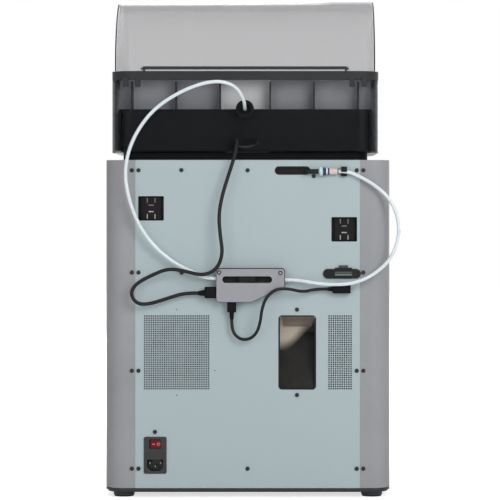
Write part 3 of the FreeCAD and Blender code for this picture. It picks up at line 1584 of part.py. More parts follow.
# ---- filament feeder: deck, dividers, feed units and rollers ----
deck_half_x = "(feeder_width / 2 - feeder_wall - deck_gap)"
deck_half_y = "(feeder_depth / 2 - feeder_wall - deck_gap)"
bay_spots = [
    f"(feeder_across + {side} * (bay_inner + bay_pitch * {step}))"
    for side in (-1, 1) for step in (0.5, 1.5)]
well_half = "(bay_pitch / 2 - rib_half)"
roller_half = f"({well_half} - 0.3)"
roller_planes = {"front": "(feeder_centre - roller_half_gap)", "rear": "(feeder_centre + roller_half_gap)"}


def feeder_deck():
    block = plate("deck_block", "XY_Plane", tub_floor, f"deck_top - {tub_floor}",
                  feeder_outline("feeder_wall + deck_gap"))
    tools = []
    for index, x in enumerate(bay_spots):
        tools.append(cylinder(
            f"spool_well_{index}", "x", "spool_well_radius", about(x, well_half),
            ("feeder_centre", "spool_axis_height")))
        for place_name, y in roller_planes.items():
            tools.append(cylinder(
                f"roller_well_{place_name}_{index}", "x", "roller_radius + roller_gap", about(x, well_half),
                (y, "roller_axis_height")))
            tools.append(cylinder(
                f"axle_bore_{place_name}_{index}", "x", "axle_radius + axle_gap",
                about(x, f"{well_half} + axle_length + 0.2"), (y, "roller_axis_height")))
    start, end = "(spool_well_radius - deck_space_inset)", f"({deck_half_y} - deck_wall)"
    below = (f"{tub_floor} - 1", "deck_top - deck_floor")
    for side in (1, -1):
        span = mirrored((start, end), side)
        tools.append(box(
            f"deck_space_{side_names[side]}", about("feeder_across", f"{deck_half_x} - deck_wall"),
            (f"feeder_centre + {span[0]}", f"feeder_centre + {span[1]}"), below))
    tools.append(box(
        "deck_space_middle", about("feeder_across", "bay_inner - deck_wall"),
        about("feeder_centre", f"{start} - 2 * deck_wall"), below))
    return cut("feeder_deck", block, *tools)


keep(feeder_deck())
deck_back = f"(feeder_centre + {deck_half_y})"
baffle_face = f"({deck_back} - divider_depth)"


def feeder_dividers():
    """The baffle behind the spools, and the six ribs that stand between it and the tub's rear wall."""
    baffle = box(
        "feeder_baffle", about("feeder_across", f"{deck_half_x} - 2"),
        (f"{baffle_face} - baffle_gauge", baffle_face), ("deck_top", "baffle_top"))
    ribs = []
    for side in (-1, 1):
        for step in range(3):
            x = f"feeder_across + {side} * (bay_inner + bay_pitch * {step})"
            ribs.append(box(
                f"divider_{side_names[side]}_{step}", about(x, "divider_gauge / 2"), (baffle_face, deck_back),
                ("deck_top", "divider_top")))
    return fuse("feeder_dividers", [baffle, *ribs])


keep(feeder_dividers())


def feed_units():
    """The four filament drives at the front of the bays, and the hub disc on the deck's rear wall."""
    units = []
    for index, x in enumerate(bay_spots):
        units.append(box(
            f"feed_unit_{index}", about(x, "feed_unit_half"),
            ("feeder_centre - feed_unit_far", "feeder_centre - feed_unit_near"),
            ("deck_top", "deck_top + feed_unit_height")))
    disc_span = (deck_back, f"{deck_back} + hub_disc_depth")
    disc = cylinder(
        "hub_disc_round", "y", "hub_disc_radius", disc_span, ("feeder_across", "hub_disc_height"))
    above = box(
        "hub_disc_trim", about("feeder_across", "hub_disc_radius + 1"),
        (f"{disc_span[0]} - 1", f"{disc_span[1]} + 1"),
        ("deck_top", "hub_disc_height + hub_disc_radius + 1"))
    return group("feed_units", [*units, cut("hub_disc", disc, above)])


keep(feed_units())


def roller(name, x, plane):
    spot = (roller_planes[plane], "roller_axis_height")
    return fuse(name, [
        cylinder(f"{name}_drum", "x", "roller_radius", about(x, roller_half), spot),
        cylinder(f"{name}_axle", "x", "axle_radius", about(x, f"{well_half} + axle_length"), spot)])


for index, x in enumerate(bay_spots, 1):
    keep(roller(f"drive_roller_{index}", x, "front"))
keep(group("idle_rollers", [
    roller(f"idle_roller_{index}", x, "rear") for index, x in enumerate(bay_spots, 1)]))

# ---- filament feeder: hinge and lid ----
lid_axis_y = "(feeder_centre + lid_depth / 2 + lid_barrel)"
lid_axis_z = f"({lid_bottom} + lid_barrel)"
lid_axis = (lid_axis_y, lid_axis_z)


def lid_hinge_bar():
    body = cylinder(
        "bar_round", "x", "lid_barrel - lid_clear", about("feeder_across", "bar_half_length"), lid_axis)
    foot = box("bar_foot", about("feeder_across", "bar_half_length"),
               about(lid_axis_y, "lid_barrel - lid_clear"), (rim_top, lid_axis_z))
    pin = cylinder(
        "bar_pin", "x", "lid_pin",
        about("feeder_across", "bar_half_length + lid_clear + lug_length"), lid_axis)
    slot = box(
        "bar_slot", about("feeder_across", "bar_half_length - bar_post"),
        about(lid_axis_y, "lid_barrel"), (f"{rim_top} - 1", f"{rim_top} + bar_slot_height"))
    return cut("lid_hinge_bar", fuse("bar_whole", [body, foot, pin]), slot)


keep(lid_hinge_bar())


def feeder_lid():
    outer = plate("lid_outer", "YZ_Plane", "feeder_across - lid_width / 2", "lid_width",
                  ("arch", "feeder_centre", lid_bottom, "lid_depth", "lid_height", "lid_round"))
    inner = plate(
        "lid_inner", "YZ_Plane", "feeder_across - lid_width / 2 + lid_wall", "lid_width - 2 * lid_wall",
        ("arch", "feeder_centre", f"{lid_bottom} - 1", "lid_depth - 2 * lid_wall",
         "lid_height - lid_wall + 1", "lid_round - lid_wall"))
    lugs, bores = [], []
    for side in (1, -1):
        span = mirrored(("bar_half_length + lid_clear", "bar_half_length + lid_clear + lug_length"), side)
        span = (f"feeder_across + {span[0]}", f"feeder_across + {span[1]}")
        tag = side_names[side]
        lugs.append(cylinder(f"lid_lug_{tag}", "x", "lid_barrel", span, lid_axis))
        lugs.append(box(f"lid_arm_{tag}", span, (f"{lid_axis_y} - lid_barrel - lid_wall / 2", lid_axis_y),
                        (lid_axis_z, f"{lid_axis_z} + lid_barrel")))
        bores.append(cylinder(f"lid_bore_{tag}", "x", "lid_pin + axle_gap",
                              (f"{span[0]} - 1", f"{span[1]} + 1"), lid_axis))
    return cut("feeder_lid", fuse("lid_whole", [cut("lid_shell", outer, inner), *lugs]), *bores)


keep(feeder_lid())


# ---- filament feeder: tube outlet and cable sockets ----
def rear_ports():
    boss = cylinder(
        "outlet_boss", "y", "outlet_radius", (feeder_back, f"{feeder_back} + outlet_length"), outlet_spot)
    cup = cylinder("outlet_space", "y", "outlet_cup",
                   (f"{feeder_back} + outlet_floor", f"{feeder_back} + outlet_length + 1"), outlet_spot)
    used = box("socket_used", about(used_x, "feeder_socket_half"),
               (feeder_back, f"{feeder_back} + feeder_socket_proud"), about("feeder_socket_height", "5.5"))
    spare = box("socket_spare", about(spare_x, "feeder_socket_half - 1.5"),
                (feeder_back, f"{feeder_back} + feeder_socket_proud"), about("feeder_socket_height", "5"))
    return group("rear_ports", [
        cut("outlet", boss, cup), used, cut("socket_shell", spare, spare_hole("spare_space"))])


keep(rear_ports())

# ---- cords and their plugs ----
straight_share = 0.45


def cord(name, radius, points):
    """A round cord: straight runs joined by tangent arcs as large as the runs allow."""
    corners = [Vector(*point) for point in points]
    edges, bends = [], []
    here = corners[0]
    for before, corner, after in zip(corners, corners[1:], corners[2:]):
        back = before - corner
        onward = after - corner
        reach = straight_share * min(back.Length, onward.Length)
        turn = math.pi - back.getAngle(onward)
        bend = reach / math.tan(turn / 2)
        back.normalize()
        onward.normalize()
        inward = back + onward
        inward.normalize()
        start = corner + back * reach
        end = corner + onward * reach
        middle = corner + inward * (bend / math.cos(turn / 2) - bend)
        edges.append(Part.LineSegment(here, start).toShape())
        edges.append(Part.Arc(start, middle, end).toShape())
        bends.append(round(bend, 1))
        here = end
    edges.append(Part.LineSegment(here, corners[-1]).toShape())
    path = Part.Wire(edges)
    ring = Part.Wire([Part.Circle(corners[0], corners[1] - corners[0], number(radius)).toShape()])
    solid = path.makePipeShell([ring], True, True)
    full = math.pi * number(radius) ** 2 * path.Length
    print(f"{name}: length {path.Length:.1f}, bends {bends}, volume share {solid.Volume / full:.4f}")
    piece = doc.addObject("Part::Feature", name)
    piece.Shape = solid
    return keep(piece)


feeder_tube = [
    (4, 176, 530.6), (4, 190, 530.6), (4.5, 203, 542), (15, 210, 560), (37, 214, 568), (66, 216, 563),
    (98, 217, 549), (128, 217, 528), (150, 216, 499), (163, 215, 468), (166, 215, 437), (160, 214, 404),
    (147, 213, 371), (126, 211, 342), (99, 209, 320), (74, 207, 308), (58, 206, 299.3), (42.9, 206, 299.3)]
printer_tube = [
    (-51.2, 206, 297.3), (-68, 206, 297.3), (-92, 211, 293), (-118, 215, 291), (-146, 215, 293),
    (-173, 213, 305.5), (-195, 211, 326), (-206, 209, 354), (-205, 208, 383), (-193, 206, 409),
    (-171, 204, 428), (-149, 202, 439.8), (-136, 201.5, 444.9), (-123.6, 201.5, 444.9)]
feeder_cable = [
    (14.4, 186.5, 487), (14.4, 196, 487), (14.4, 206, 480), (18, 211, 463), (25.5, 214, 440), (34, 216, 413),
    (39, 218, 385), (36.5, 220, 357), (33, 222, 333), (41, 222, 312), (60, 221, 303.5), (83, 219, 309.5),
    (107, 218, 313.5), (130, 217, 304), (150, 216, 293), (157.5, 215.5, 282.5), (155.5, 214.5, 271.5),
    (146.5, 213, 264.5), (133, 212, 265), (116, 211, 270), (99, 209, 275.5), (84, 206, 279.5),
    (67.8, 206, 279.5)]
bus_cable = [
    (21.4, 205, 243.5), (21.4, 205, 234), (18, 206, 223), (8, 208, 216), (-4, 211, 217.5), (-13, 215, 226),
    (-17.5, 219, 240), (-19.5, 222, 257), (-25, 223, 274), (-38, 222, 285.5), (-56, 218, 286),
    (-75, 212, 281), (-93, 204, 285), (-109, 204, 285)]
cord("feeder_tube", "tube_radius", feeder_tube)
cord("printer_tube", "tube_radius", printer_tube)
cord("feeder_cable", "cable_radius", feeder_cable)
cord("bus_cable", "bus_radius", bus_cable)


def cable_plugs():
    """The four moulded plugs, each with its round strain relief, in the groups of their cables."""
    feeder_end = fuse("feeder_end_plug", [
        box("feeder_plug_body", about(used_x, "feeder_plug_half"),
            (f"{feeder_back} + feeder_socket_proud", f"{feeder_back} + feeder_plug_reach"),
            about("feeder_socket_height", "feeder_plug_rise")),
        cylinder("feeder_plug_relief", "y", "cable_radius + plug_relief_grow",
                 (f"{feeder_back} + feeder_plug_reach", f"{feeder_back} + feeder_plug_end"),
                 (used_x, "feeder_socket_height"))])
    side_end = "(buffer_right + side_plug_length)"
    buffer_side = fuse("buffer_side_plug", [
        box("side_plug_body", ("buffer_right", side_end),
            (f"{rear_face} + side_plug_near", f"{rear_face} + side_plug_far"),
            ("side_plug_bottom", "side_plug_top")),
        cylinder("side_plug_relief", "x", "side_relief_radius",
                 (side_end, f"{side_end} + side_relief_length"),
                 (f"{rear_face} + side_relief_reach", "side_relief_level"))])
    low_end = "(buffer_bottom - low_plug_length)"
    buffer_low = fuse("buffer_low_plug", [
        box("low_plug_body", about("low_plug_across", "low_plug_half"),
            (f"{rear_face} + side_plug_near", f"{rear_face} + low_plug_far"), (low_end, "buffer_bottom")),
        cylinder("low_plug_relief", "z", "low_relief_radius", (f"{low_end} - low_relief_length", low_end),
                 ("low_plug_across", f"{rear_face} + low_relief_reach"))])
    panel = fuse("panel_plug", [
        box("panel_plug_body", ("-panel_plug_left", "-panel_plug_right"),
            (rear_face, f"{rear_face} + panel_plug_depth"), ("panel_plug_bottom", "panel_plug_top")),
        cylinder("panel_plug_relief", "x", "panel_relief_radius",
                 ("-panel_plug_right", "panel_relief_length - panel_plug_right"),
                 (f"{rear_face} + panel_relief_reach", "panel_relief_level"))])
    feeder_plugs = group("feeder_cable_plugs", [feeder_end, buffer_side])
    return feeder_plugs, group("bus_cable_plugs", [buffer_low, panel])


for plugs in cable_plugs():
    keep(plugs)

# ---- checks and export ----
doc.recompute()
for piece in doc.Objects:
    if {"Invalid", "Error"} & set(piece.State):
        raise RuntimeError(f"{piece.Label} failed: {piece.State}")
for piece in nodes:
    if piece.Shape.isNull() or not piece.Shape.isValid():
        raise RuntimeError(f"{piece.Label} has no valid shape")
for piece in nodes:
    piece.Shape.exportStep(os.path.join("parts", f"{piece.Label}.step"))
print(f"{len(nodes)} sub-parts written")
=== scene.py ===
# A closed desktop filament printer with a filament feeder on its top: finishes, fine parts, light and camera.
# Metres, +Z up, door towards -Y, rear panel towards +Y.
import math

import bmesh
import bpy
import numpy as np
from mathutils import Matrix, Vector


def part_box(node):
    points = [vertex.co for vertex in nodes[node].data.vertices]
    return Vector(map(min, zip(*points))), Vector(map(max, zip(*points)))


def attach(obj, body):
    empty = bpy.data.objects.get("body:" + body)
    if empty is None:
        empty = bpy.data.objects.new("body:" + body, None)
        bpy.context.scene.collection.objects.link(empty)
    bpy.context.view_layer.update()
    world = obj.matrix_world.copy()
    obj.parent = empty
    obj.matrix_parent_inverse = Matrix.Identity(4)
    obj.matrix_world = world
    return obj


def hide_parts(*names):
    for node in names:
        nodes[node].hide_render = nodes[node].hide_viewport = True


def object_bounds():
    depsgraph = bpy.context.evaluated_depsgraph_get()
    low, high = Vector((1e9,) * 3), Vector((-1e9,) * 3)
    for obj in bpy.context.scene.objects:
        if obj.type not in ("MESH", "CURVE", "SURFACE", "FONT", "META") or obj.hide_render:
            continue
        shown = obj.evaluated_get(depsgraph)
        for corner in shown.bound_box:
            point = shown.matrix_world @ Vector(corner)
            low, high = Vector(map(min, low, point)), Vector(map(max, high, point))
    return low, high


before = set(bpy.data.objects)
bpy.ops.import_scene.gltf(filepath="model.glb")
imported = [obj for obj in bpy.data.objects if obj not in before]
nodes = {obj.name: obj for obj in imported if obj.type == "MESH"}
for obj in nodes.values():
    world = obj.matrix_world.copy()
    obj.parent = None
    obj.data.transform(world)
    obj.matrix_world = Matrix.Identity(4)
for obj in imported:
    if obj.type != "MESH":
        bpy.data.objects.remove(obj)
cadLow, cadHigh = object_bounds()
print("frame loaded,", len(nodes), "nodes")


# the camera looks level at the rear panel, from the side of the feeder's foot
cameraSetup = {"place": (-0.0551, 3.3945, 0.406), "lens": 168.9, "shift": (-0.076, -0.1)}
lens = bpy.data.cameras.new("camera")
lens.lens = cameraSetup["lens"]
lens.shift_x, lens.shift_y = cameraSetup["shift"]
camera = bpy.data.objects.new("camera", lens)
camera.location = cameraSetup["place"]
camera.rotation_euler = (math.pi / 2, 0, math.pi)
bpy.context.collection.objects.link(camera)
bpy.context.scene.camera = camera
bpy.context.scene.view_settings.view_transform = "Standard"


def tone(red, green, blue, alpha=1.0):
    # a screen colour, 0 to 255, as a linear one: ((v + 0.055) / 1.055) ^ 2.4, or v / 12.92 near black
    values = np.array([red, green, blue]) / 255
    linear = np.where(values <= 0.04045, values / 12.92, ((values + 0.055) / 1.055) ** 2.4)
    return (*linear.tolist(), alpha)


class Signal:
    # a socket that takes part in sums: each operator adds the Math node of its name
    def __init__(self, finish, socket):
        self.finish = finish
        self.socket = socket

    def combine(self, operation, first, second=None):
        values = {0: first} if second is None else {0: first, 1: second}
        return self.finish.add("Math", {"operation": operation}, values)

    def __add__(self, other):
        return self.combine("ADD", self, other)

    def __radd__(self, other):
        return self.combine("ADD", other, self)

    def __sub__(self, other):
        return self.combine("SUBTRACT", self, other)

    def __rsub__(self, other):
        return self.combine("SUBTRACT", other, self)

    def __mul__(self, other):
        return self.combine("MULTIPLY", self, other)

    def __rmul__(self, other):
        return self.combine("MULTIPLY", other, self)

    def __truediv__(self, other):
        return self.combine("DIVIDE", self, other)

    def __pow__(self, other):
        return self.combine("POWER", self, other)

    def __abs__(self):
        return self.combine("ABSOLUTE", self)

    def clipped(self):
        # held between 0 and 1
        return self.finish.add("Clamp", {}, {"Value": self})

    def near(self, centre, half, soft=0.0003):
        # 1 within half of the centre, falling to 0 over the soft edge:
        # clip((half - |s - centre|) / soft + 0.5)
        return ((half - abs(self - centre)) / soft + 0.5).clipped()

    def above(self, level, soft=0.0003):
        # 1 past the level, 0 before it: clip((s - level) / soft + 0.5)
        return ((self - level) / soft + 0.5).clipped()


class Finish:
    # one material: add() puts in any node, the rest are the few mixtures that the finishes share
    def __init__(self, name, blended=False, tree=None):
        self.material = None if tree else bpy.data.materials.new(name)
        if not tree:
            self.material.use_nodes = True
        self.tree = tree or self.material.node_tree
        self.tree.nodes.clear()
        if blended:
            self.material.surface_render_method = "BLENDED"

    def add(self, kind, settings, sockets, output=0):
        node = self.tree.nodes.new("ShaderNode" + kind)
        for word, value in settings.items():
            if word == "stops":
                ramp = node.color_ramp
                while len(ramp.elements) < len(value):
                    ramp.elements.new(0.5)
                for element, (spot, colour) in zip(ramp.elements, value):
                    element.position = spot
                    element.color = colour
            elif word == "interpolation":
                node.color_ramp.interpolation = value
            else:
                setattr(node, word, value)
        for word, value in sockets.items():
            if isinstance(value, Signal):
                self.tree.links.new(value.socket, node.inputs[word])
            else:
                node.inputs[word].default_value = value
        return Signal(self, node.outputs[output]) if len(node.outputs) else None

    def place(self):
        return self.add("TexCoord", {}, {}, "Object")

    def axes(self):
        # the three coordinates, apart
        place = self.place()
        return [self.add("SeparateXYZ", {}, {0: place}, letter) for letter in "XYZ"]

    def noise(self, scale, detail=2.0, stretch=(1, 1, 1)):
        place = self.add("Mapping", {}, {"Vector": self.place(), "Scale": stretch})
        return self.add("TexNoise", {}, {"Vector": place, "Scale": scale, "Detail": detail})

    def blend(self, mask, first, second):
        # first where the mask is 0, second where it is 1
        return self.add("Mix", {"data_type": "RGBA"}, {0: mask, 6: first, 7: second}, 2)

    def relief(self, height, distance):
        # bumps from a height of 0 to 1, distance tall
        return self.add("Bump", {}, {"Height": height, "Distance": distance, "Strength": 1.0})

    def surface(self, sockets):
        shader = self.add("BsdfPrincipled", {}, sockets)
        self.add("OutputMaterial", {}, {"Surface": shader})
        return self.material


def shaded(colour, factor):
    # the same hue, lighter or darker
    return (*(min(1.0, value * factor) for value in colour[:3]), 1.0)


def total(signals):
    # all the signals added up, in their order
    first, *rest = signals
    for signal in rest:
        first = first + signal
    return first


def reach(across, up, centre):
    # how far a point lies from the centre: ((a - c0)^2 + (u - c1)^2) ^ 0.5
    return ((across - centre[0]) ** 2.0 + (up - centre[1]) ** 2.0) ** 0.5


def patch(across, up, centre, half, soft=0.0003):
    # 1 within a rectangle, 0 outside it
    return across.near(centre[0], half[0], soft) * up.near(centre[1], half[1], soft)


lightSetup = {
    "worldLevel": 0.22,
    "floorGlow": (0.66, 1.0),  # near the printer and far from it
    "glowReach": (0.30, 0.85),  # metres from the middle between which the glow rises
    "floorSize": 14,
    "lamps": [
        # name, place, size, brightness that it adds on a face turned to it
        ("rear_key", (-1.5, 3.2, 1.5), 2.0, 0.50),
        ("rear_fill", (1.2, 3.1, 0.9), 1.6, 0.13),
        ("front_key", (0.8, -3.2, 1.7), 2.0, 0.50),
        ("front_fill", (-1.6, -2.8, 1.0), 1.6, 0.18),
        ("overhead", (0.1, 0.0, 3.2), 2.4, 0.30),
    ],
}


def aimedLamp(name, place, size, level):
    # an area lamp turned to the middle of the printer; its power is level * pi^2 * distance^2
    lamp = bpy.data.lights.new(name, "AREA")
    lamp.shape = "DISK"
    lamp.size = size
    holder = bpy.data.objects.new(name, lamp)
    middle = (cadLow + cadHigh) / 2
    holder.location = place
    away = holder.location - middle
    lamp.energy = level * math.pi**2 * away.length_squared
    holder.rotation_euler = away.to_track_quat("Z", "Y").to_euler()
    bpy.context.collection.objects.link(holder)


for lampEntry in lightSetup["lamps"]:
    aimedLamp(*lampEntry)

world = bpy.data.worlds.new("room")
world.use_nodes = True
bpy.context.scene.world = world


def directRays(finish):
    # 1 for what the camera sees directly, in gloss or through glass
    rays = ("Is Camera Ray", "Is Glossy Ray", "Is Transmission Ray")
    return total(finish.add("LightPath", {}, {}, ray) for ray in rays).clipped()


def buildWorld():
    # a dim room for the diffuse light, plain white behind everything
    room = Finish("room", tree=world.node_tree)
    level = lightSetup["worldLevel"] + directRays(room) * (1 - lightSetup["worldLevel"])
    light = room.add("Background", {}, {"Color": (1, 1, 1, 1), "Strength": level})
    room.add("OutputWorld", {}, {"Surface": light})


buildWorld()


def floorFinish():
    # a pale floor that keeps the printer's shadow and glows up to white away from it:
    # glow = low + (high - low) * clip((r - start) / (end - start))
    finish = Finish("pale_floor")
    x, y, _ = finish.axes()
    start, end = lightSetup["glowReach"]
    low, high = lightSetup["floorGlow"]
    ramp = (((x * x + y * y) ** 0.5 - start) / (end - start)).clipped()
    glow = (low + (high - low) * ramp) * directRays(finish)
    return finish.surface({
        "Base Color": (0.8, 0.8, 0.8, 1), "Roughness": 0.9, "Specular IOR Level": 0.0,
        "Emission Color": finish.blend(glow, (0, 0, 0, 1), (1, 1, 1, 1)), "Emission Strength": 1.0})


def makeFloor():
    half = lightSetup["floorSize"] / 2
    mesh = bpy.data.meshes.new("floor")
    corners = [(-half, -half, 0), (half, -half, 0), (half, half, 0), (-half, half, 0)]
    mesh.from_pydata(corners, [], [(0, 1, 2, 3)])
    mesh.materials.append(floorFinish())
    floor = bpy.data.objects.new("floor", mesh)
    bpy.context.collection.objects.link(floor)


makeFloor()
print("camera, lamps and floor set")


def moulded(name, colour, rough=0.5, grain=1400, depth=0.00003, gleam=0.3):
    # moulded plastic or rubber: a fine spark-eroded grain, slow cloudy changes of shade, and a roughness
    # that follows both
    finish = Finish(name)
    cloud = finish.noise(14, 3)
    fine = finish.noise(grain, 3)
    return finish.surface({
        "Base Color": finish.blend(cloud, shaded(colour, 0.88), shaded(colour, 1.12)),
        "Roughness": rough - 0.08 + 0.1 * cloud + 0.08 * fine, "Specular IOR Level": gleam,
        "Normal": finish.relief(fine, depth)})


def painted(name, colour, second, rough=0.42, peel=900, depth=0.00002, flake=0.0):
    # baked paint on sheet metal: orange peel, a faint drift between two shades, and optional metal flake
    finish = Finish(name)
    drift = finish.noise(2.2, 2)
    peeled = finish.noise(peel, 2)
    speck = finish.noise(5200, 1)
    shade = finish.blend(drift, colour, second)
    shade = finish.blend((peeled - 0.35).clipped() * 0.25, shade, shaded(colour, 1.1))
    return finish.surface({
        "Base Color": shade, "Metallic": flake * speck if flake else 0.0,
        "Roughness": rough - 0.05 + 0.12 * peeled, "Specular IOR Level": 0.5,
        "Normal": finish.relief(peeled, depth)})


def turnedMetal(name, colour, rough=0.25, stretch=(1, 1, 40), depth=0.00001):
    # ground or brushed metal: fine lines drawn out along one axis, which also break up the gloss
    finish = Finish(name)
    lines = finish.noise(90, 4, stretch)
    cloud = finish.noise(25, 2)
    return finish.surface({
        "Base Color": finish.blend(lines, shaded(colour, 0.8), shaded(colour, 1.1)), "Metallic": 1.0,
        "Roughness": rough - 0.08 + 0.14 * lines + 0.06 * cloud, "Normal": finish.relief(lines, depth)})


def seeThrough(name, colour, clear, edge):
    # glass or smoky plastic: the alpha rises from clear to edge where the wall is seen at a slant
    finish = Finish(name, blended=True)
    slant = finish.add("LayerWeight", {}, {"Blend": 0.35}, "Facing")
    smear = finish.noise(7, 4)
    fine = finish.noise(60, 2)
    return finish.surface({
        "Base Color": finish.blend(smear, shaded(colour, 0.92), shaded(colour, 1.08)),
        "Roughness": 0.03 + 0.05 * smear, "Specular IOR Level": 0.5,
        "Alpha": (clear + (edge - clear) * slant**2.0 + 0.02 * smear).clipped(),
        "Normal": finish.relief(fine, 0.00001)})


plasticBlack = moulded("plastic_black", tone(38, 39, 43), rough=0.5)
plasticSoft = moulded("plastic_soft_black", tone(30, 31, 34), rough=0.62, grain=2200)
plasticDeep = moulded("plastic_deep_black", tone(16, 17, 19), rough=0.6, gleam=0.08)
rubberPad = moulded("rubber_pad", tone(28, 28, 28), rough=0.8, grain=900)
rearPaint = painted("rear_paint", tone(166, 181, 183), tone(163, 178, 183))
sidePaint = moulded("side_shell", tone(153, 154, 157), rough=0.5, grain=2400, depth=0.000008, gleam=0.12)
frameDark = painted("inner_paint", tone(74, 76, 80), tone(66, 68, 72), rough=0.55, peel=1200, depth=0.00004)
steelBright = turnedMetal("steel_bright", tone(196, 198, 200), rough=0.26)
hingeSteel = turnedMetal("hinge_steel", tone(74, 75, 78), rough=0.5)
steelDark = turnedMetal("steel_black_oxide", tone(38, 38, 40), rough=0.42, stretch=(12, 1, 1))
alloy = turnedMetal("alloy_machined", tone(188, 190, 193), rough=0.34, stretch=(40, 1, 1))
glassClear = seeThrough("glass_clear", tone(150, 160, 160), 0.10, 0.55)
glassDoor = seeThrough("glass_door_tinted", tone(40, 42, 44), 0.16, 0.6)
silverCover = painted(
    "buffer_silver", tone(141, 143, 148), tone(135, 137, 142), rough=0.4, peel=2400, depth=0.00001, flake=0.3)
sliderDark = moulded("slider_dark", tone(25, 26, 28), rough=0.45, gleam=0.1)
boardGreen = moulded("board_green", tone(28, 86, 56), rough=0.4, grain=400, depth=0.00002)
tubeWhite = moulded("tube_white", tone(222, 230, 234), rough=0.28, grain=200, depth=0.000008, gleam=0.5)
cableBlack = moulded("cable_sheath", tone(20, 20, 22), rough=0.5, grain=700, depth=0.00002, gleam=0.2)
carbonFoam = moulded("carbon_foam", tone(22, 23, 25), rough=0.85, grain=420, depth=0.0008, gleam=0.1)
rollerRubber = moulded("roller_rubber", tone(44, 45, 48), rough=0.7, grain=800)
print("shared finishes made")


def dress(finish, *names):
    for name in names:
        piece = nodes[name]
        if not piece.material_slots:
            piece.data.materials.append(finish)
        for slot in piece.material_slots:
            slot.material = finish


dress(plasticBlack, "base_frame", "door_fittings", "fan_frame", "exhaust_rotor", "toolhead")
dress(rubberPad, "foot_pads", "drive_belts")
dress(sidePaint, "side_panel_right", "side_panel_left", "top_frame", "front_frame")
dress(rearPaint, "rear_panel")
dress(steelDark, "seam_brackets")
dress(hingeSteel, "door_hinges")
dress(steelBright, "guide_rods", "lead_screw_right", "lead_screw_left", "power_supply")
dress(alloy, "motor_pulley_right", "motor_pulley_left", "gantry")
dress(glassClear, "top_glass")
dress(glassDoor, "door_glass")
dress(frameDark, "chamber_back", "bed_frame")
dress(carbonFoam, "air_filter")
dress(boardGreen, "mainboard")
dress(silverCover, "buffer_cover")
dress(sliderDark, "buffer_slider")
dress(plasticSoft, "feeder_rim", "buffer_base", "lid_hinge_bar")
dress(plasticDeep, "feeder_deck", "feeder_plinth", "rear_ports")
dress(rollerRubber, "drive_roller_1", "drive_roller_2", "drive_roller_3", "drive_roller_4", "idle_rollers")


def gridQuads(rows, columns, closed=True):
    # the four corners of each cell of a rows by columns grid; a closed one joins its last column to its first
    row = np.arange(rows - 1)[:, None]
    column = np.arange(columns if closed else columns - 1)[None, :]
    following = (column + 1) % columns
    above, below = row * columns, (row + 1) * columns
    corners = [above + column, above + following, below + following, below + column]
    return np.stack(np.broadcast_arrays(*corners), -1).reshape(-1, 4)


def makePiece(name, points, quads, finish, body, slot, crease=32):
    # points and cells into a mesh: doubles merged, faces turned outwards, edges past the crease kept crisp
    mesh = bpy.data.meshes.new(name)
    mesh.from_pydata(np.asarray(points).tolist(), [], np.asarray(quads).tolist())
    work = bmesh.new()
    work.from_mesh(mesh)
    bmesh.ops.remove_doubles(work, verts=work.verts, dist=1e-6)
    bmesh.ops.recalc_face_normals(work, faces=work.faces)
    work.to_mesh(mesh)
    work.free()
    mesh.shade_smooth()
    mesh.set_sharp_from_angle(angle=math.radians(crease))
    mesh.materials.append(finish)
    piece = bpy.data.objects.new(name, mesh)
    bpy.context.collection.objects.link(piece)
    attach(piece, body)
    return piece


def joined(parts):
    # several (points, cells) pairs as one
    points, quads, count = [], [], 0
    for spots, cells in parts:
        points.append(spots)
        quads.append(cells + count)
        count += len(spots)
    return np.concatenate(points), np.concatenate(quads)


axisFrames = {
    # along, and the two directions across
    "x": np.array([[1, 0, 0], [0, 1, 0], [0, 0, 1]], float),
    "y": np.array([[0, 1, 0], [0, 0, 1], [1, 0, 0]], float),
    "z": np.array([[0, 0, 1], [1, 0, 0], [0, 1, 0]], float),
}


def turned(profile, axis, centre, sides=32):
    # a profile of (distance along, radius) turned about an axis:
    # centre + along * a + radius * (cos v * b + sin v * c)
    profile = np.asarray(profile, float)
    angle = np.linspace(0, 2 * np.pi, sides, endpoint=False)
    along, first, second = axisFrames[axis]
    ring = np.cos(angle)[:, None] * first + np.sin(angle)[:, None] * second
    points = profile[:, :1, None] * along + profile[:, 1:, None] * ring[None]
    return (points + np.asarray(centre)).reshape(-1, 3), gridQuads(len(profile), sides)


def softBlock(low, high, axis, corner, rounding, steps=5):
    # a block with round edges: a rounded rectangle carried along the axis and drawn in at both ends by a
    # quarter circle; its outline is the corner centre of each quadrant plus the corner radius along the angle
    low, high = np.asarray(low, float), np.asarray(high, float)
    along, first, second = axisFrames[axis]
    half = (high - low) / 2
    lengths = [abs(half @ along), abs(half @ first), abs(half @ second)]
    quarter = np.linspace(0, np.pi / 2, steps)
    angle = (quarter[None, :] + np.arange(4)[:, None] * np.pi / 2).ravel()
    signs = np.repeat([[1, 1], [-1, 1], [-1, -1], [1, -1]], steps, axis=0)
    drawn = np.concatenate([[0], rounding * np.sin(quarter), rounding * np.sin(quarter[::-1]), [0]])
    spots = np.concatenate([[-lengths[0]], -lengths[0] + rounding * (1 - np.cos(quarter)),
                            lengths[0] - rounding * (1 - np.cos(quarter[::-1])), [lengths[0]]])
    scale = np.concatenate([[0], np.ones(2 * steps), [0]])
    inset = (rounding - drawn) * scale
    across = []
    for index in (0, 1):
        wave = np.cos(angle) if index == 0 else np.sin(angle)
        centre = signs[:, index] * (lengths[index + 1] - corner)
        across.append((centre + wave * corner)[None, :] * scale[:, None] - inset[:, None] * wave[None, :])
    points = (spots[:, None, None] * along + across[0][..., None] * first + across[1][..., None] * second
              + (low + high) / 2)
    return points.reshape(-1, 3), gridQuads(2 * steps + 2, 4 * steps)


ventSetup = {
    "pitch": 0.003, "radius": 0.00117, "gauge": 0.0012,
    # middle across and up, holes across and up
    "fields": [((0.0969, 0.1982), (30, 34)), ((-0.1261, 0.1982), (11, 34))],
}


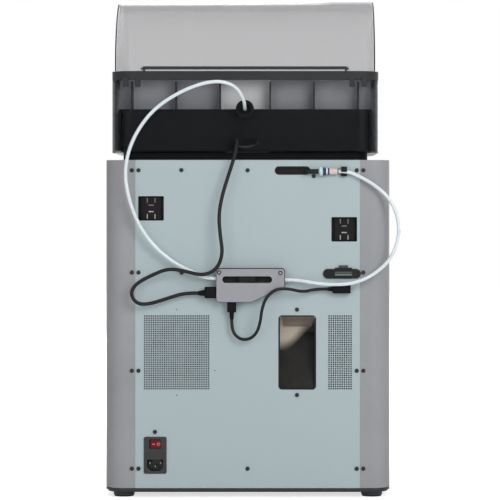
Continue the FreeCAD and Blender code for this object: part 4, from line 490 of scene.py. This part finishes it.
def punchedField(middle, counts, face):
    # a plate of square cells, each with an eight-sided hole: the ring of points on the cell's border is
    # joined to the ring radius * (cos a, sin a) about its centre, on the face, down the hole and on the back
    pitch, radius, gauge = (ventSetup[word] for word in ("pitch", "radius", "gauge"))
    columns, lines = counts
    perColumn = 2 * lines + 1
    across, up = np.meshgrid(np.arange(2 * columns + 1), np.arange(perColumn), indexing="ij")
    border = np.stack([(across.ravel() / 2 - columns / 2) * pitch + middle[0],
                       np.zeros(across.size), (up.ravel() / 2 - lines / 2) * pitch + middle[1]], -1)
    i, j = (2 * spot.ravel() for spot in np.meshgrid(np.arange(columns), np.arange(lines), indexing="ij"))
    ringSteps = np.array([(0, 0), (1, 0), (2, 0), (2, 1), (2, 2), (1, 2), (0, 2), (0, 1)])
    outer = (i[:, None] + ringSteps[:, 0]) * perColumn + j[:, None] + ringSteps[:, 1]
    angle = np.arctan2(ringSteps[:, 1] - 1, ringSteps[:, 0] - 1)
    centre = border[(i + 1) * perColumn + j + 1]
    hole = centre[:, None, :] + radius * np.stack([np.cos(angle), 0 * angle, np.sin(angle)], -1)[None]
    inner = len(border) + np.arange(len(centre) * 8).reshape(-1, 8)
    front = np.concatenate([border, hole.reshape(-1, 3)]) + (0, face, 0)
    back = front - (0, gauge, 0)
    step = np.roll(np.arange(8), -1)
    plateCells = np.stack([outer, outer[:, step], inner[:, step], inner], -1).reshape(-1, 4)
    wallCells = np.stack([inner, inner[:, step], inner[:, step] + len(front), inner + len(front)], -1)
    wallCells = wallCells.reshape(-1, 4)
    # once round the plate's outline
    rim = np.concatenate([np.arange(perColumn), np.arange(1, 2 * columns + 1) * perColumn + 2 * lines,
                          2 * columns * perColumn + np.arange(2 * lines)[::-1],
                          np.arange(1, 2 * columns)[::-1] * perColumn])
    after = np.roll(rim, -1)
    rimCells = np.stack([rim, after, after + len(front), rim + len(front)], -1)
    points = np.concatenate([front, back])
    cells = np.concatenate([plateCells, plateCells + len(front), wallCells, rimCells])
    used, tidy = np.unique(cells, return_inverse=True)
    return points[used], tidy.reshape(-1, 4)


def makeVents():
    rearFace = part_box("vent_grilles")[1][1]
    fields = [punchedField(middle, counts, rearFace) for middle, counts in ventSetup["fields"]]
    vents = makePiece("vent_mesh", *joined(fields), rearPaint, "case", "rear_grey")
    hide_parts("vent_grilles")


makeVents()
print("vents punched")


flapSetup = {
    "low": (-0.0912, 0.1480, 0.2285), "high": (-0.0442, 0.1490, 0.2470), "corner": 0.003, "rounding": 0.0003,
}


def makeFlap():
    # the wiper flap that hangs behind the waste chute's mouth
    points = softBlock(flapSetup["low"], flapSetup["high"], "y", flapSetup["corner"], flapSetup["rounding"])
    finish = moulded("chute_flap_silicone", tone(214, 202, 188), rough=0.6, grain=600, gleam=0.1)
    makePiece("chute_flap", *points, finish, "case", "pale_grey")


makeFlap()


plugSetup = {
    # box low and high, the axis that the cable leaves along and its sense, then the sleeve's start, a point
    # on its axis, its radius, its length and how many ribs it has
    "feeder_cable_plugs": [
        {"low": (0.0089, 0.1755, 0.483), "high": (0.0199, 0.1845, 0.491), "axis": "y", "sense": 1,
         "start": 0.1845, "centre": (0.0144, 0, 0.487), "radius": 0.0034, "length": 0.002, "ribs": 1},
        {"low": (0.0429, 0.1995, 0.2725), "high": (0.0582, 0.2125, 0.288), "axis": "x", "sense": 1,
         "start": 0.0582, "centre": (0, 0.206, 0.2795), "radius": 0.0044, "length": 0.0096, "ribs": 4},
    ],
    "bus_cable_plugs": [
        {"low": (0.0153, 0.1995, 0.2534), "high": (0.0275, 0.2105, 0.2667), "axis": "z", "sense": -1,
         "start": 0.2534, "centre": (0.0214, 0.205, 0), "radius": 0.0035, "length": 0.0099, "ribs": 4},
        {"low": (-0.1402, 0.1945, 0.279), "high": (-0.1158, 0.2085, 0.290), "axis": "x", "sense": 1,
         "start": -0.1158, "centre": (0, 0.204, 0.285), "radius": 0.0036, "length": 0.0068, "ribs": 3},
    ],
}
plugShape = {
    "corner": 0.0022, "rounding": 0.0009, "sides": 28,
    "sunk": 0.0006,  # how far the sleeve starts inside the body
    "grooveDepth": 0.0004, "endRadius": 0.0027,  # the sheath's radius and a little more
}


def reliefProfile(plug):
    # a tapering sleeve with grooves: the radius falls evenly to the sheath's while its steps go in and out
    steps = 2 * plug["ribs"]
    spots, radii = [-plugShape["sunk"]] * 2, [0, plug["radius"]]
    for step in range(steps):
        share = step / steps
        wide = plug["radius"] + (plugShape["endRadius"] - plug["radius"]) * share
        wide -= plugShape["grooveDepth"] if step % 2 else 0
        spots += [share * plug["length"], (share + 1 / steps) * plug["length"]]
        radii += [wide, wide]
    spots.append(plug["length"])
    radii.append(0)
    return np.stack([np.array(spots) * plug["sense"] + plug["start"], radii], -1)


def makePlugs():
    # returns the pieces by the name of the solids that they stand for
    made = {}
    for name, plugs in plugSetup.items():
        parts = []
        for plug in plugs:
            axis, corner, rounding = plug["axis"], plugShape["corner"], plugShape["rounding"]
            parts.append(softBlock(plug["low"], plug["high"], axis, corner, rounding))
            parts.append(turned(reliefProfile(plug), axis, plug["centre"], plugShape["sides"]))
        made[name] = makePiece(name + "_moulded", *joined(parts), plasticDeep, "case", "dark_plastic")
        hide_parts(name)
    return made


plugPieces = makePlugs()
print("plugs moulded")


tubeLook = {
    "radius": 0.0024, "stiffness": "stiff", "lay": "hanging", "finish": tubeWhite, "slot": "white_tube",
}
cableLook = {"stiffness": "limp", "lay": "hanging", "finish": cableBlack, "slot": "black_cable"}
perMetre = 1000
cordSetup = {
    # lengths in metres, the route's points in millimetres
    "feeder_tube": {
        **tubeLook, "length": 0.475,
        "points": [
            (4, 176, 530.6), (4, 190, 530.6), (4.5, 203, 542), (15, 210, 560), (37, 214, 568), (66, 216, 563),
            (98, 217, 549), (128, 217, 528), (150, 216, 499), (163, 215, 468), (166, 215, 437),
            (160, 214, 404), (147, 213, 371), (126, 211, 342), (99, 209, 320), (74, 207, 308),
            (58, 206, 299.3), (42.9, 206, 299.3)]},
    "printer_tube": {
        **tubeLook, "length": 0.322,
        "points": [
            (-51.2, 206, 297.3), (-68, 206, 297.3), (-92, 211, 293), (-118, 215, 291), (-146, 215, 293),
            (-173, 213, 305.5), (-195, 211, 326), (-206, 209, 354), (-205, 208, 383), (-193, 206, 409),
            (-171, 204, 428), (-149, 202, 439.8), (-136, 201.5, 444.9), (-123.6, 201.5, 444.9)]},
    "feeder_cable": {
        **cableLook, "radius": 0.0025, "length": 0.423,
        "points": [
            (14.4, 186.5, 487), (14.4, 196, 487), (14.4, 206, 480), (18, 211, 463), (25.5, 214, 440),
            (34, 216, 413), (39, 218, 385), (36.5, 220, 357), (33, 222, 333), (41, 222, 312),
            (60, 221, 303.5), (83, 219, 309.5), (107, 218, 313.5), (130, 217, 304), (150, 216, 293),
            (157.5, 215.5, 282.5), (155.5, 214.5, 271.5), (146.5, 213, 264.5), (133, 212, 265),
            (116, 211, 270), (99, 209, 275.5), (84, 206, 279.5), (67.8, 206, 279.5)]},
    "bus_cable": {
        **cableLook, "radius": 0.00215, "length": 0.198,
        "points": [
            (21.4, 205, 243.5), (21.4, 205, 234), (18, 206, 223), (8, 208, 216), (-4, 211, 217.5),
            (-13, 215, 226), (-17.5, 219, 240), (-19.5, 222, 257), (-25, 223, 274), (-38, 222, 285.5),
            (-56, 218, 286), (-75, 212, 281), (-93, 204, 285), (-109, 204, 285)]},
}


def makeCord(name, setup):
    # one smooth spline with the route's points as its control points
    curve = bpy.data.curves.new(name + "_line", "CURVE")
    curve.dimensions = "3D"
    curve.bevel_depth = setup["radius"]
    curve.bevel_resolution = 5
    curve.resolution_u = 14
    curve.use_fill_caps = True
    route = np.array(setup["points"]) / perMetre
    spline = curve.splines.new("NURBS")
    spline.points.add(len(route) - 1)
    spline.points.foreach_set("co", np.c_[route, np.ones(len(route))].ravel())
    spline.order_u = 3
    spline.use_endpoint_u = True
    curve.materials.append(setup["finish"])
    piece = bpy.data.objects.new(name + "_line", curve)
    bpy.context.collection.objects.link(piece)
    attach(piece, "case")
    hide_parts(name)
    2 * setup["radius"]


for cordName, cordEntry in cordSetup.items():
    plugs = [piece for name, piece in plugPieces.items() if name == cordName + "_plugs"]
    makeCord(cordName, cordEntry)
print("cords laid")


# finishes whose marks follow a place on the object; marks hold metres along x, y (depth) or z (height)
motorMarks = {
    "pinsAndRidgesFrom": 0.19005,  # the pins and the plug's ridges stand out past this depth; the ridges take the pins' pale colour as a painted highlight
    "shadeFrom": {"right": 0.396, "left": 0.3672},  # and get painted shade above these heights
    "shade": 0.55,
}


def motorFinish():
    # black bodies with dull metal pins and a plug's ridges at the window; the ridges are painted pale as a
    # highlight, and pins and ridges above each motor's middle get painted shade
    finish = Finish("motor_black")
    x, y, z = finish.axes()
    pins = y.above(motorMarks["pinsAndRidgesFrom"], 0.0001)
    fine = finish.noise(1300, 3)
    right = x.above(0, 0.0001)
    # painted shade over the pins and ridges above each motor's middle
    shade = (right * z.above(motorMarks["shadeFrom"]["right"], 0.0002)
             + (1 - right) * z.above(motorMarks["shadeFrom"]["left"], 0.0002)).clipped()
    lit = 1 - shade * motorMarks["shade"]
    return finish.surface({
        "Base Color": finish.blend(pins * lit, tone(14, 14, 16), tone(150, 150, 154)), "Metallic": pins * 0.5,
        "Roughness": 0.5 - 0.15 * pins + 0.06 * fine, "Specular IOR Level": 0.12,
        "Normal": finish.relief(fine, 0.00002)})


inletMarks = {
    "pins": [(0.0469, (0.1334, 0.1186)), (0.0424, (0.126,))],  # the height of each row, and its pins across
    "half": (0.0008, 0.0009), "soft": (0.0006, 0.0008),
    "pinsTo": 0.1925,
}


def inletFinish():
    # black housing with three tinned pins in the socket
    finish = Finish("inlet_black")
    x, y, z = finish.axes()
    half, soft = inletMarks["half"], inletMarks["soft"]
    pins = total(
        total(x.near(across, half[0], soft[0]) for across in row) * z.near(height, half[1], soft[1])
        for height, row in inletMarks["pins"])
    pins = pins * (1 - y.above(inletMarks["pinsTo"], 0.0001))
    fine = finish.noise(1500, 3)
    return finish.surface({
        "Base Color": finish.blend(pins, tone(20, 20, 22), tone(124, 126, 126)), "Metallic": pins * 0.3,
        "Roughness": 0.38 - 0.15 * pins + 0.08 * fine, "Specular IOR Level": 0.4,
        "Normal": finish.relief(fine, 0.00002)})


rockerMarks = {
    "barMiddle": (0.1282, 0.0731), "barHalf": (0.0019, 0.0006), "barSoft": (0.0005, 0.0004),
    "ringMiddle": (0.1214, 0.0732), "ringRadius": 0.0017, "ringHalf": 0.0004,
    "marksFrom": 0.1935,
}


def rockerFinish():
    # red, with the pale bar and ring of an on/off switch
    finish = Finish("rocker_red")
    x, y, z = finish.axes()
    (barAcross, barUp), (halfAcross, halfUp) = rockerMarks["barMiddle"], rockerMarks["barHalf"]
    softAcross, softUp = rockerMarks["barSoft"]
    bar = x.near(barAcross, halfAcross, softAcross) * z.near(barUp, halfUp, softUp)
    outward = reach(x, z, rockerMarks["ringMiddle"])
    ring = outward.near(rockerMarks["ringRadius"], rockerMarks["ringHalf"], 0.0004)
    marks = (bar + ring).clipped() * y.above(rockerMarks["marksFrom"], 0.0002)
    fine = finish.noise(500, 3)
    red = finish.blend(fine, tone(88, 12, 20), tone(104, 16, 24))
    return finish.surface({
        "Base Color": finish.blend(marks, red, tone(206, 132, 136)),
        "Roughness": 0.26 + 0.1 * fine, "Specular IOR Level": 0.15,
        "Normal": finish.relief(fine, 0.000006)})


screwMarks = {"bufferScrews": [(0.0381, 0.3078), (-0.0449, 0.3071)], "radius": 0.0009, "half": 0.0006}


def screwFinish():
    # black, with a pale ring round the socket of the two on the buffer
    finish = Finish("screws_black")
    x, _, z = finish.axes()
    rings = total([reach(x, z, spot).near(screwMarks["radius"], screwMarks["half"])
                   for spot in screwMarks["bufferScrews"]])
    lines = finish.noise(300, 3)
    return finish.surface({
        "Base Color": finish.blend(rings.clipped(), tone(20, 20, 22), tone(150, 152, 156)), "Metallic": 0.4,
        "Roughness": 0.4 + 0.12 * lines, "Normal": finish.relief(lines, 0.00001)})


chuteMarks = {
    "middle": (-0.0677, 0.198), "half": (0.0236, 0.0486), "soft": 0.0004,
    "paleCorner": (-0.0885, 0.240), "paleFrom": 0.2065, "paleSoft": 0.016,
}


def chuteFinish():
    # dark rim round a glossy sloped liner that pales towards its upper corner
    finish = Finish("chute_liner")
    x, _, z = finish.axes()
    inside = patch(x, z, chuteMarks["middle"], chuteMarks["half"], chuteMarks["soft"])
    soft, (across, up) = chuteMarks["paleSoft"], chuteMarks["paleCorner"]
    slanting = (((x - across) + (z - up)) / soft + 0.5).clipped()
    pale = slanting * z.above(chuteMarks["paleFrom"], soft)
    smear = finish.noise(30, 3)
    liner = finish.blend((pale * 0.94 + 0.06 * smear).clipped(), tone(14, 16, 19), tone(196, 184, 170))
    return finish.surface({
        "Base Color": finish.blend(inside, tone(26, 27, 29), liner),
        "Roughness": 0.42 - 0.2 * inside + 0.05 * smear, "Specular IOR Level": 0.12,
        "Normal": finish.relief(smear, 0.00002)})


portMarks = {
    "connector": ((-0.1307, 0.3055), (0.0116, 0.003)),  # middle and half of each rectangle
    "tab": ((-0.1307, 0.3153), (0.0064, 0.0017)),
    "thinBand": (0.3075, 0.0005), "wideBand": (0.3041, 0.0012),  # height and half of each band
    "olivePast": -0.1425,
}


def portFinish():
    # black surround, greenish grey connector with two paler bands, grey tab
    finish = Finish("port_black")
    x, _, z = finish.axes()
    connector = patch(x, z, *portMarks["connector"])
    bands = z.near(*portMarks["thinBand"]) * 0.6 + z.near(*portMarks["wideBand"])
    tab = patch(x, z, *portMarks["tab"])
    olive = 1 - x.above(portMarks["olivePast"], 0.0008)
    fine = finish.noise(1500, 3)
    shade = finish.blend(olive, tone(22, 22, 25), tone(34, 36, 26))
    shade = finish.blend(connector, shade, tone(52, 60, 54))
    shade = finish.blend((connector * bands).clipped(), shade, tone(112, 122, 114))
    shade = finish.blend(tab, shade, tone(62, 68, 72))
    return finish.surface({
        "Base Color": shade, "Roughness": 0.45 + 0.08 * fine, "Specular IOR Level": 0.15,
        "Normal": finish.relief(fine, 0.00002)})


couplerMarks = {
    "ringsFrom": -0.0855, "ringsLength": 0.038, "plugPast": -0.0856, "clipPast": -0.1262,
    "rings": [
        # share of the length from the panel's plug to the tube's clip, and the shade from there on
        (0.0, tone(26, 28, 32)), (0.30, tone(206, 216, 224)), (0.44, tone(52, 92, 150)),
        (0.50, tone(40, 42, 46)), (0.56, tone(222, 226, 230)), (0.62, tone(60, 62, 66)),
        (0.68, tone(214, 196, 196)), (0.97, tone(30, 31, 33))],
}


def couplerFinish():
    # coloured rings between a black plug and a black clip
    finish = Finish("coupler_rings")
    x, _, _ = finish.axes()
    along = ((couplerMarks["ringsFrom"] - x) / couplerMarks["ringsLength"]).clipped()
    rings = finish.add(
        "ValToRGB", {"interpolation": "CONSTANT", "stops": couplerMarks["rings"]}, {0: along})
    plug = x.above(couplerMarks["plugPast"], 0.0002)
    clip = 1 - x.above(couplerMarks["clipPast"], 0.0002)
    fine = finish.noise(900, 2)
    return finish.surface({
        "Base Color": finish.blend((plug + clip).clipped(), rings, tone(17, 18, 20)),
        "Roughness": 0.26 + 0.1 * fine, "Specular IOR Level": 0.15,
        "Normal": finish.relief(fine, 0.00001)})


def plateFinish():
    # build plate: dark sheet with a bright speckle
    finish = Finish("plate_speckled")
    speck = finish.noise(2600, 2)
    return finish.surface({
        "Base Color": finish.blend((speck * 3 - 1.5).clipped(), tone(58, 56, 50), tone(112, 102, 78)),
        "Metallic": 0.3, "Roughness": 0.45 + 0.2 * speck, "Normal": finish.relief(speck, 0.00008)})


screenMarks = {
    "face": -0.19445, "soft": 0.0008,
    "tiles": [
        # across and half, then the height and half of each tile in that column
        ((-0.034, 0.016), [(0.412, 0.022)]),
        ((0.0, 0.012), [(0.4225, 0.0095), (0.4005, 0.0095)]),
        ((0.029, 0.013), [(0.412, 0.022)])],
}


def screenFinish():
    # dark glass with a few plain glowing tiles
    finish = Finish("screen_glass")
    x, y, z = finish.axes()
    face = 1 - y.above(screenMarks["face"], 0.00005)
    soft = screenMarks["soft"]
    tiles = total(x.near(*column, soft) * total(z.near(*tile, soft) for tile in stack)
                  for column, stack in screenMarks["tiles"]).clipped() * face
    return finish.surface({
        "Base Color": tone(14, 15, 17), "Roughness": 0.08, "Coat Weight": 0.5, "Coat Roughness": 0.05,
        "Emission Color": finish.blend(tiles, tone(10, 12, 14), tone(64, 84, 96)), "Emission Strength": 0.6})


feederMarks = {
    "middle": 0.004,
    # tub: the rear wall's depth, the wall's density at the rear and the sides, and where its corners start
    "rearWall": 0.162, "rearClear": 0.13, "sideClear": 0.45, "cornerStart": 0.170, "cornerWidth": 0.008,
    # lid: half its width inside the end walls, and the rear arch's centre and where its painted dark edge
    # starts
    "lidEnd": 0.1772, "archFrom": 0.05, "archCentre": (0.0685, 0.586), "archRadius": 0.0962,
    # baffle: half the middle bay that is painted light, the fall of its edge, the ribs' depth, and the
    # heights over which its painted shade lifts
    "centreHalf": 0.0335, "centreSoft": 0.0015, "ribsFrom": 0.1407, "deckTop": 0.531, "ribTop": 0.576,
    # hub disc: the height of its middle, the ring of its painted highlight, the ring's upper end, and the
    # depth it lies behind
    "hubHeight": 0.509, "hubRadius": 0.030, "hubHalf": 0.0012, "hubTo": 0.4845, "hubFrom": 0.15,
}


def tubFinish():
    # smoky plastic, clearest over the flat of its rear wall, densest round the corners and at a slant
    finish = Finish("tub_smoky", blended=True)
    x, y, _ = finish.axes()
    aside = abs(x - feederMarks["middle"])
    rear = y.above(feederMarks["rearWall"], 0.004)
    corner = ((aside - feederMarks["cornerStart"]) / feederMarks["cornerWidth"]).clipped()
    slant = finish.add("LayerWeight", {}, {"Blend": 0.3}, "Facing")
    smear = finish.noise(9, 3)
    side = feederMarks["sideClear"]
    alpha = side + (feederMarks["rearClear"] - side) * rear + 0.22 * corner + 0.3 * slant**3.0
    return finish.surface({
        "Base Color": tone(34, 36, 41), "Roughness": 0.14 + 0.05 * smear, "Specular IOR Level": 0.12,
        "Alpha": (alpha + 0.02 * smear).clipped(),
        "Normal": finish.relief(finish.noise(40, 2), 0.00002)})


def lidFinish():
    # pale smoky plastic; round the rear half of the arch, which is a quarter circle about its corner's
    # centre, the end walls' outermost few millimetres are painted black and near opaque, a painted shade for
    # the dark line that a thick clear edge shows
    finish = Finish("lid_smoky", blended=True)
    x, y, z = finish.axes()
    outward = reach(y, z, feederMarks["archCentre"])
    # painted shade: the dark edge of the end walls round the rear arch
    edge = (abs(x - feederMarks["middle"]).above(feederMarks["lidEnd"], 0.0004)
            * y.above(feederMarks["archFrom"], 0.01) * outward.above(feederMarks["archRadius"], 0.0006))
    slant = finish.add("LayerWeight", {}, {"Blend": 0.4}, "Facing")
    smear = finish.noise(5, 3)
    return finish.surface({
        "Base Color": finish.blend(edge, tone(118, 119, 124), tone(12, 13, 15)),
        "Roughness": 0.08 + 0.05 * smear, "Specular IOR Level": 0.2,
        "Alpha": (0.19 + 0.4 * slant**2.5 + 0.01 * smear + 0.8 * edge).clipped(),
        "Normal": finish.relief(finish.noise(40, 2), 0.000004)})


def baffleFinish():
    # behind the spools: the middle bay painted near white, a painted light for what passes through the feeder
    # where no spool stands; mid grey beside it for the spools, darker towards the deck as painted shade; with
    # dark ribs
    finish = Finish("baffle_grey_painted_light")
    x, y, z = finish.axes()
    past = abs(x - feederMarks["middle"]) - feederMarks["centreHalf"]
    # painted light: the middle bay near white, as the light that comes through the feeder there
    middle = 1 - (past / feederMarks["centreSoft"]).clipped()
    ribs = y.above(feederMarks["ribsFrom"], 0.0004)
    low, high = feederMarks["deckTop"], feederMarks["ribTop"]
    # painted shade: each bay darker at the deck, lifting towards the ribs' top
    paintedShadeLift = ((z - low) / (high - low)).clipped()
    cloud = finish.noise(18, 3)
    shade = finish.blend((paintedShadeLift * 0.7 + cloud * 0.3).clipped(), tone(158, 160, 166), tone(186, 188, 194))
    shade = finish.blend(middle, shade, tone(250, 251, 253))
    shade = finish.blend(ribs, shade, tone(52, 54, 59))
    return finish.surface({
        "Base Color": shade, "Roughness": 0.6 + 0.1 * cloud, "Specular IOR Level": 0.2,
        "Normal": finish.relief(finish.noise(700, 2), 0.00002)})


def unitsFinish():
    # feed units: black, with a faint painted highlight along the lower part of a ring round the hub disc
    finish = Finish("feed_units_black")
    x, y, z = finish.axes()
    outward = reach(x, z, (feederMarks["middle"], feederMarks["hubHeight"]))
    half = feederMarks["hubHalf"]
    ring = outward.near(feederMarks["hubRadius"], half, half) * (1 - z.above(feederMarks["hubTo"], 0.003))
    fine = finish.noise(1400, 3)
    # painted highlight: pale grey on the ring's lower arc only
    seen = ring * y.above(feederMarks["hubFrom"])
    return finish.surface({
        "Base Color": finish.blend(seen, tone(16, 17, 19), tone(84, 86, 90)),
        "Roughness": 0.55 + 0.1 * fine, "Specular IOR Level": 0.08,
        "Normal": finish.relief(fine, 0.00003)})


dress(motorFinish(), "xy_motors")
dress(inletFinish(), "power_inlet")
dress(rockerFinish(), "power_rocker")
dress(screwFinish(), "rear_screws")
dress(chuteFinish(), "waste_chute")
dress(portFinish(), "port_cover")
dress(couplerFinish(), "tube_coupler")
dress(plateFinish(), "build_plate")
dress(screenFinish(), "touch_screen")
dress(tubFinish(), "feeder_tub")
dress(lidFinish(), "feeder_lid")
dress(baffleFinish(), "feeder_dividers")
dress(unitsFinish(), "feed_units")
print("placed finishes made")
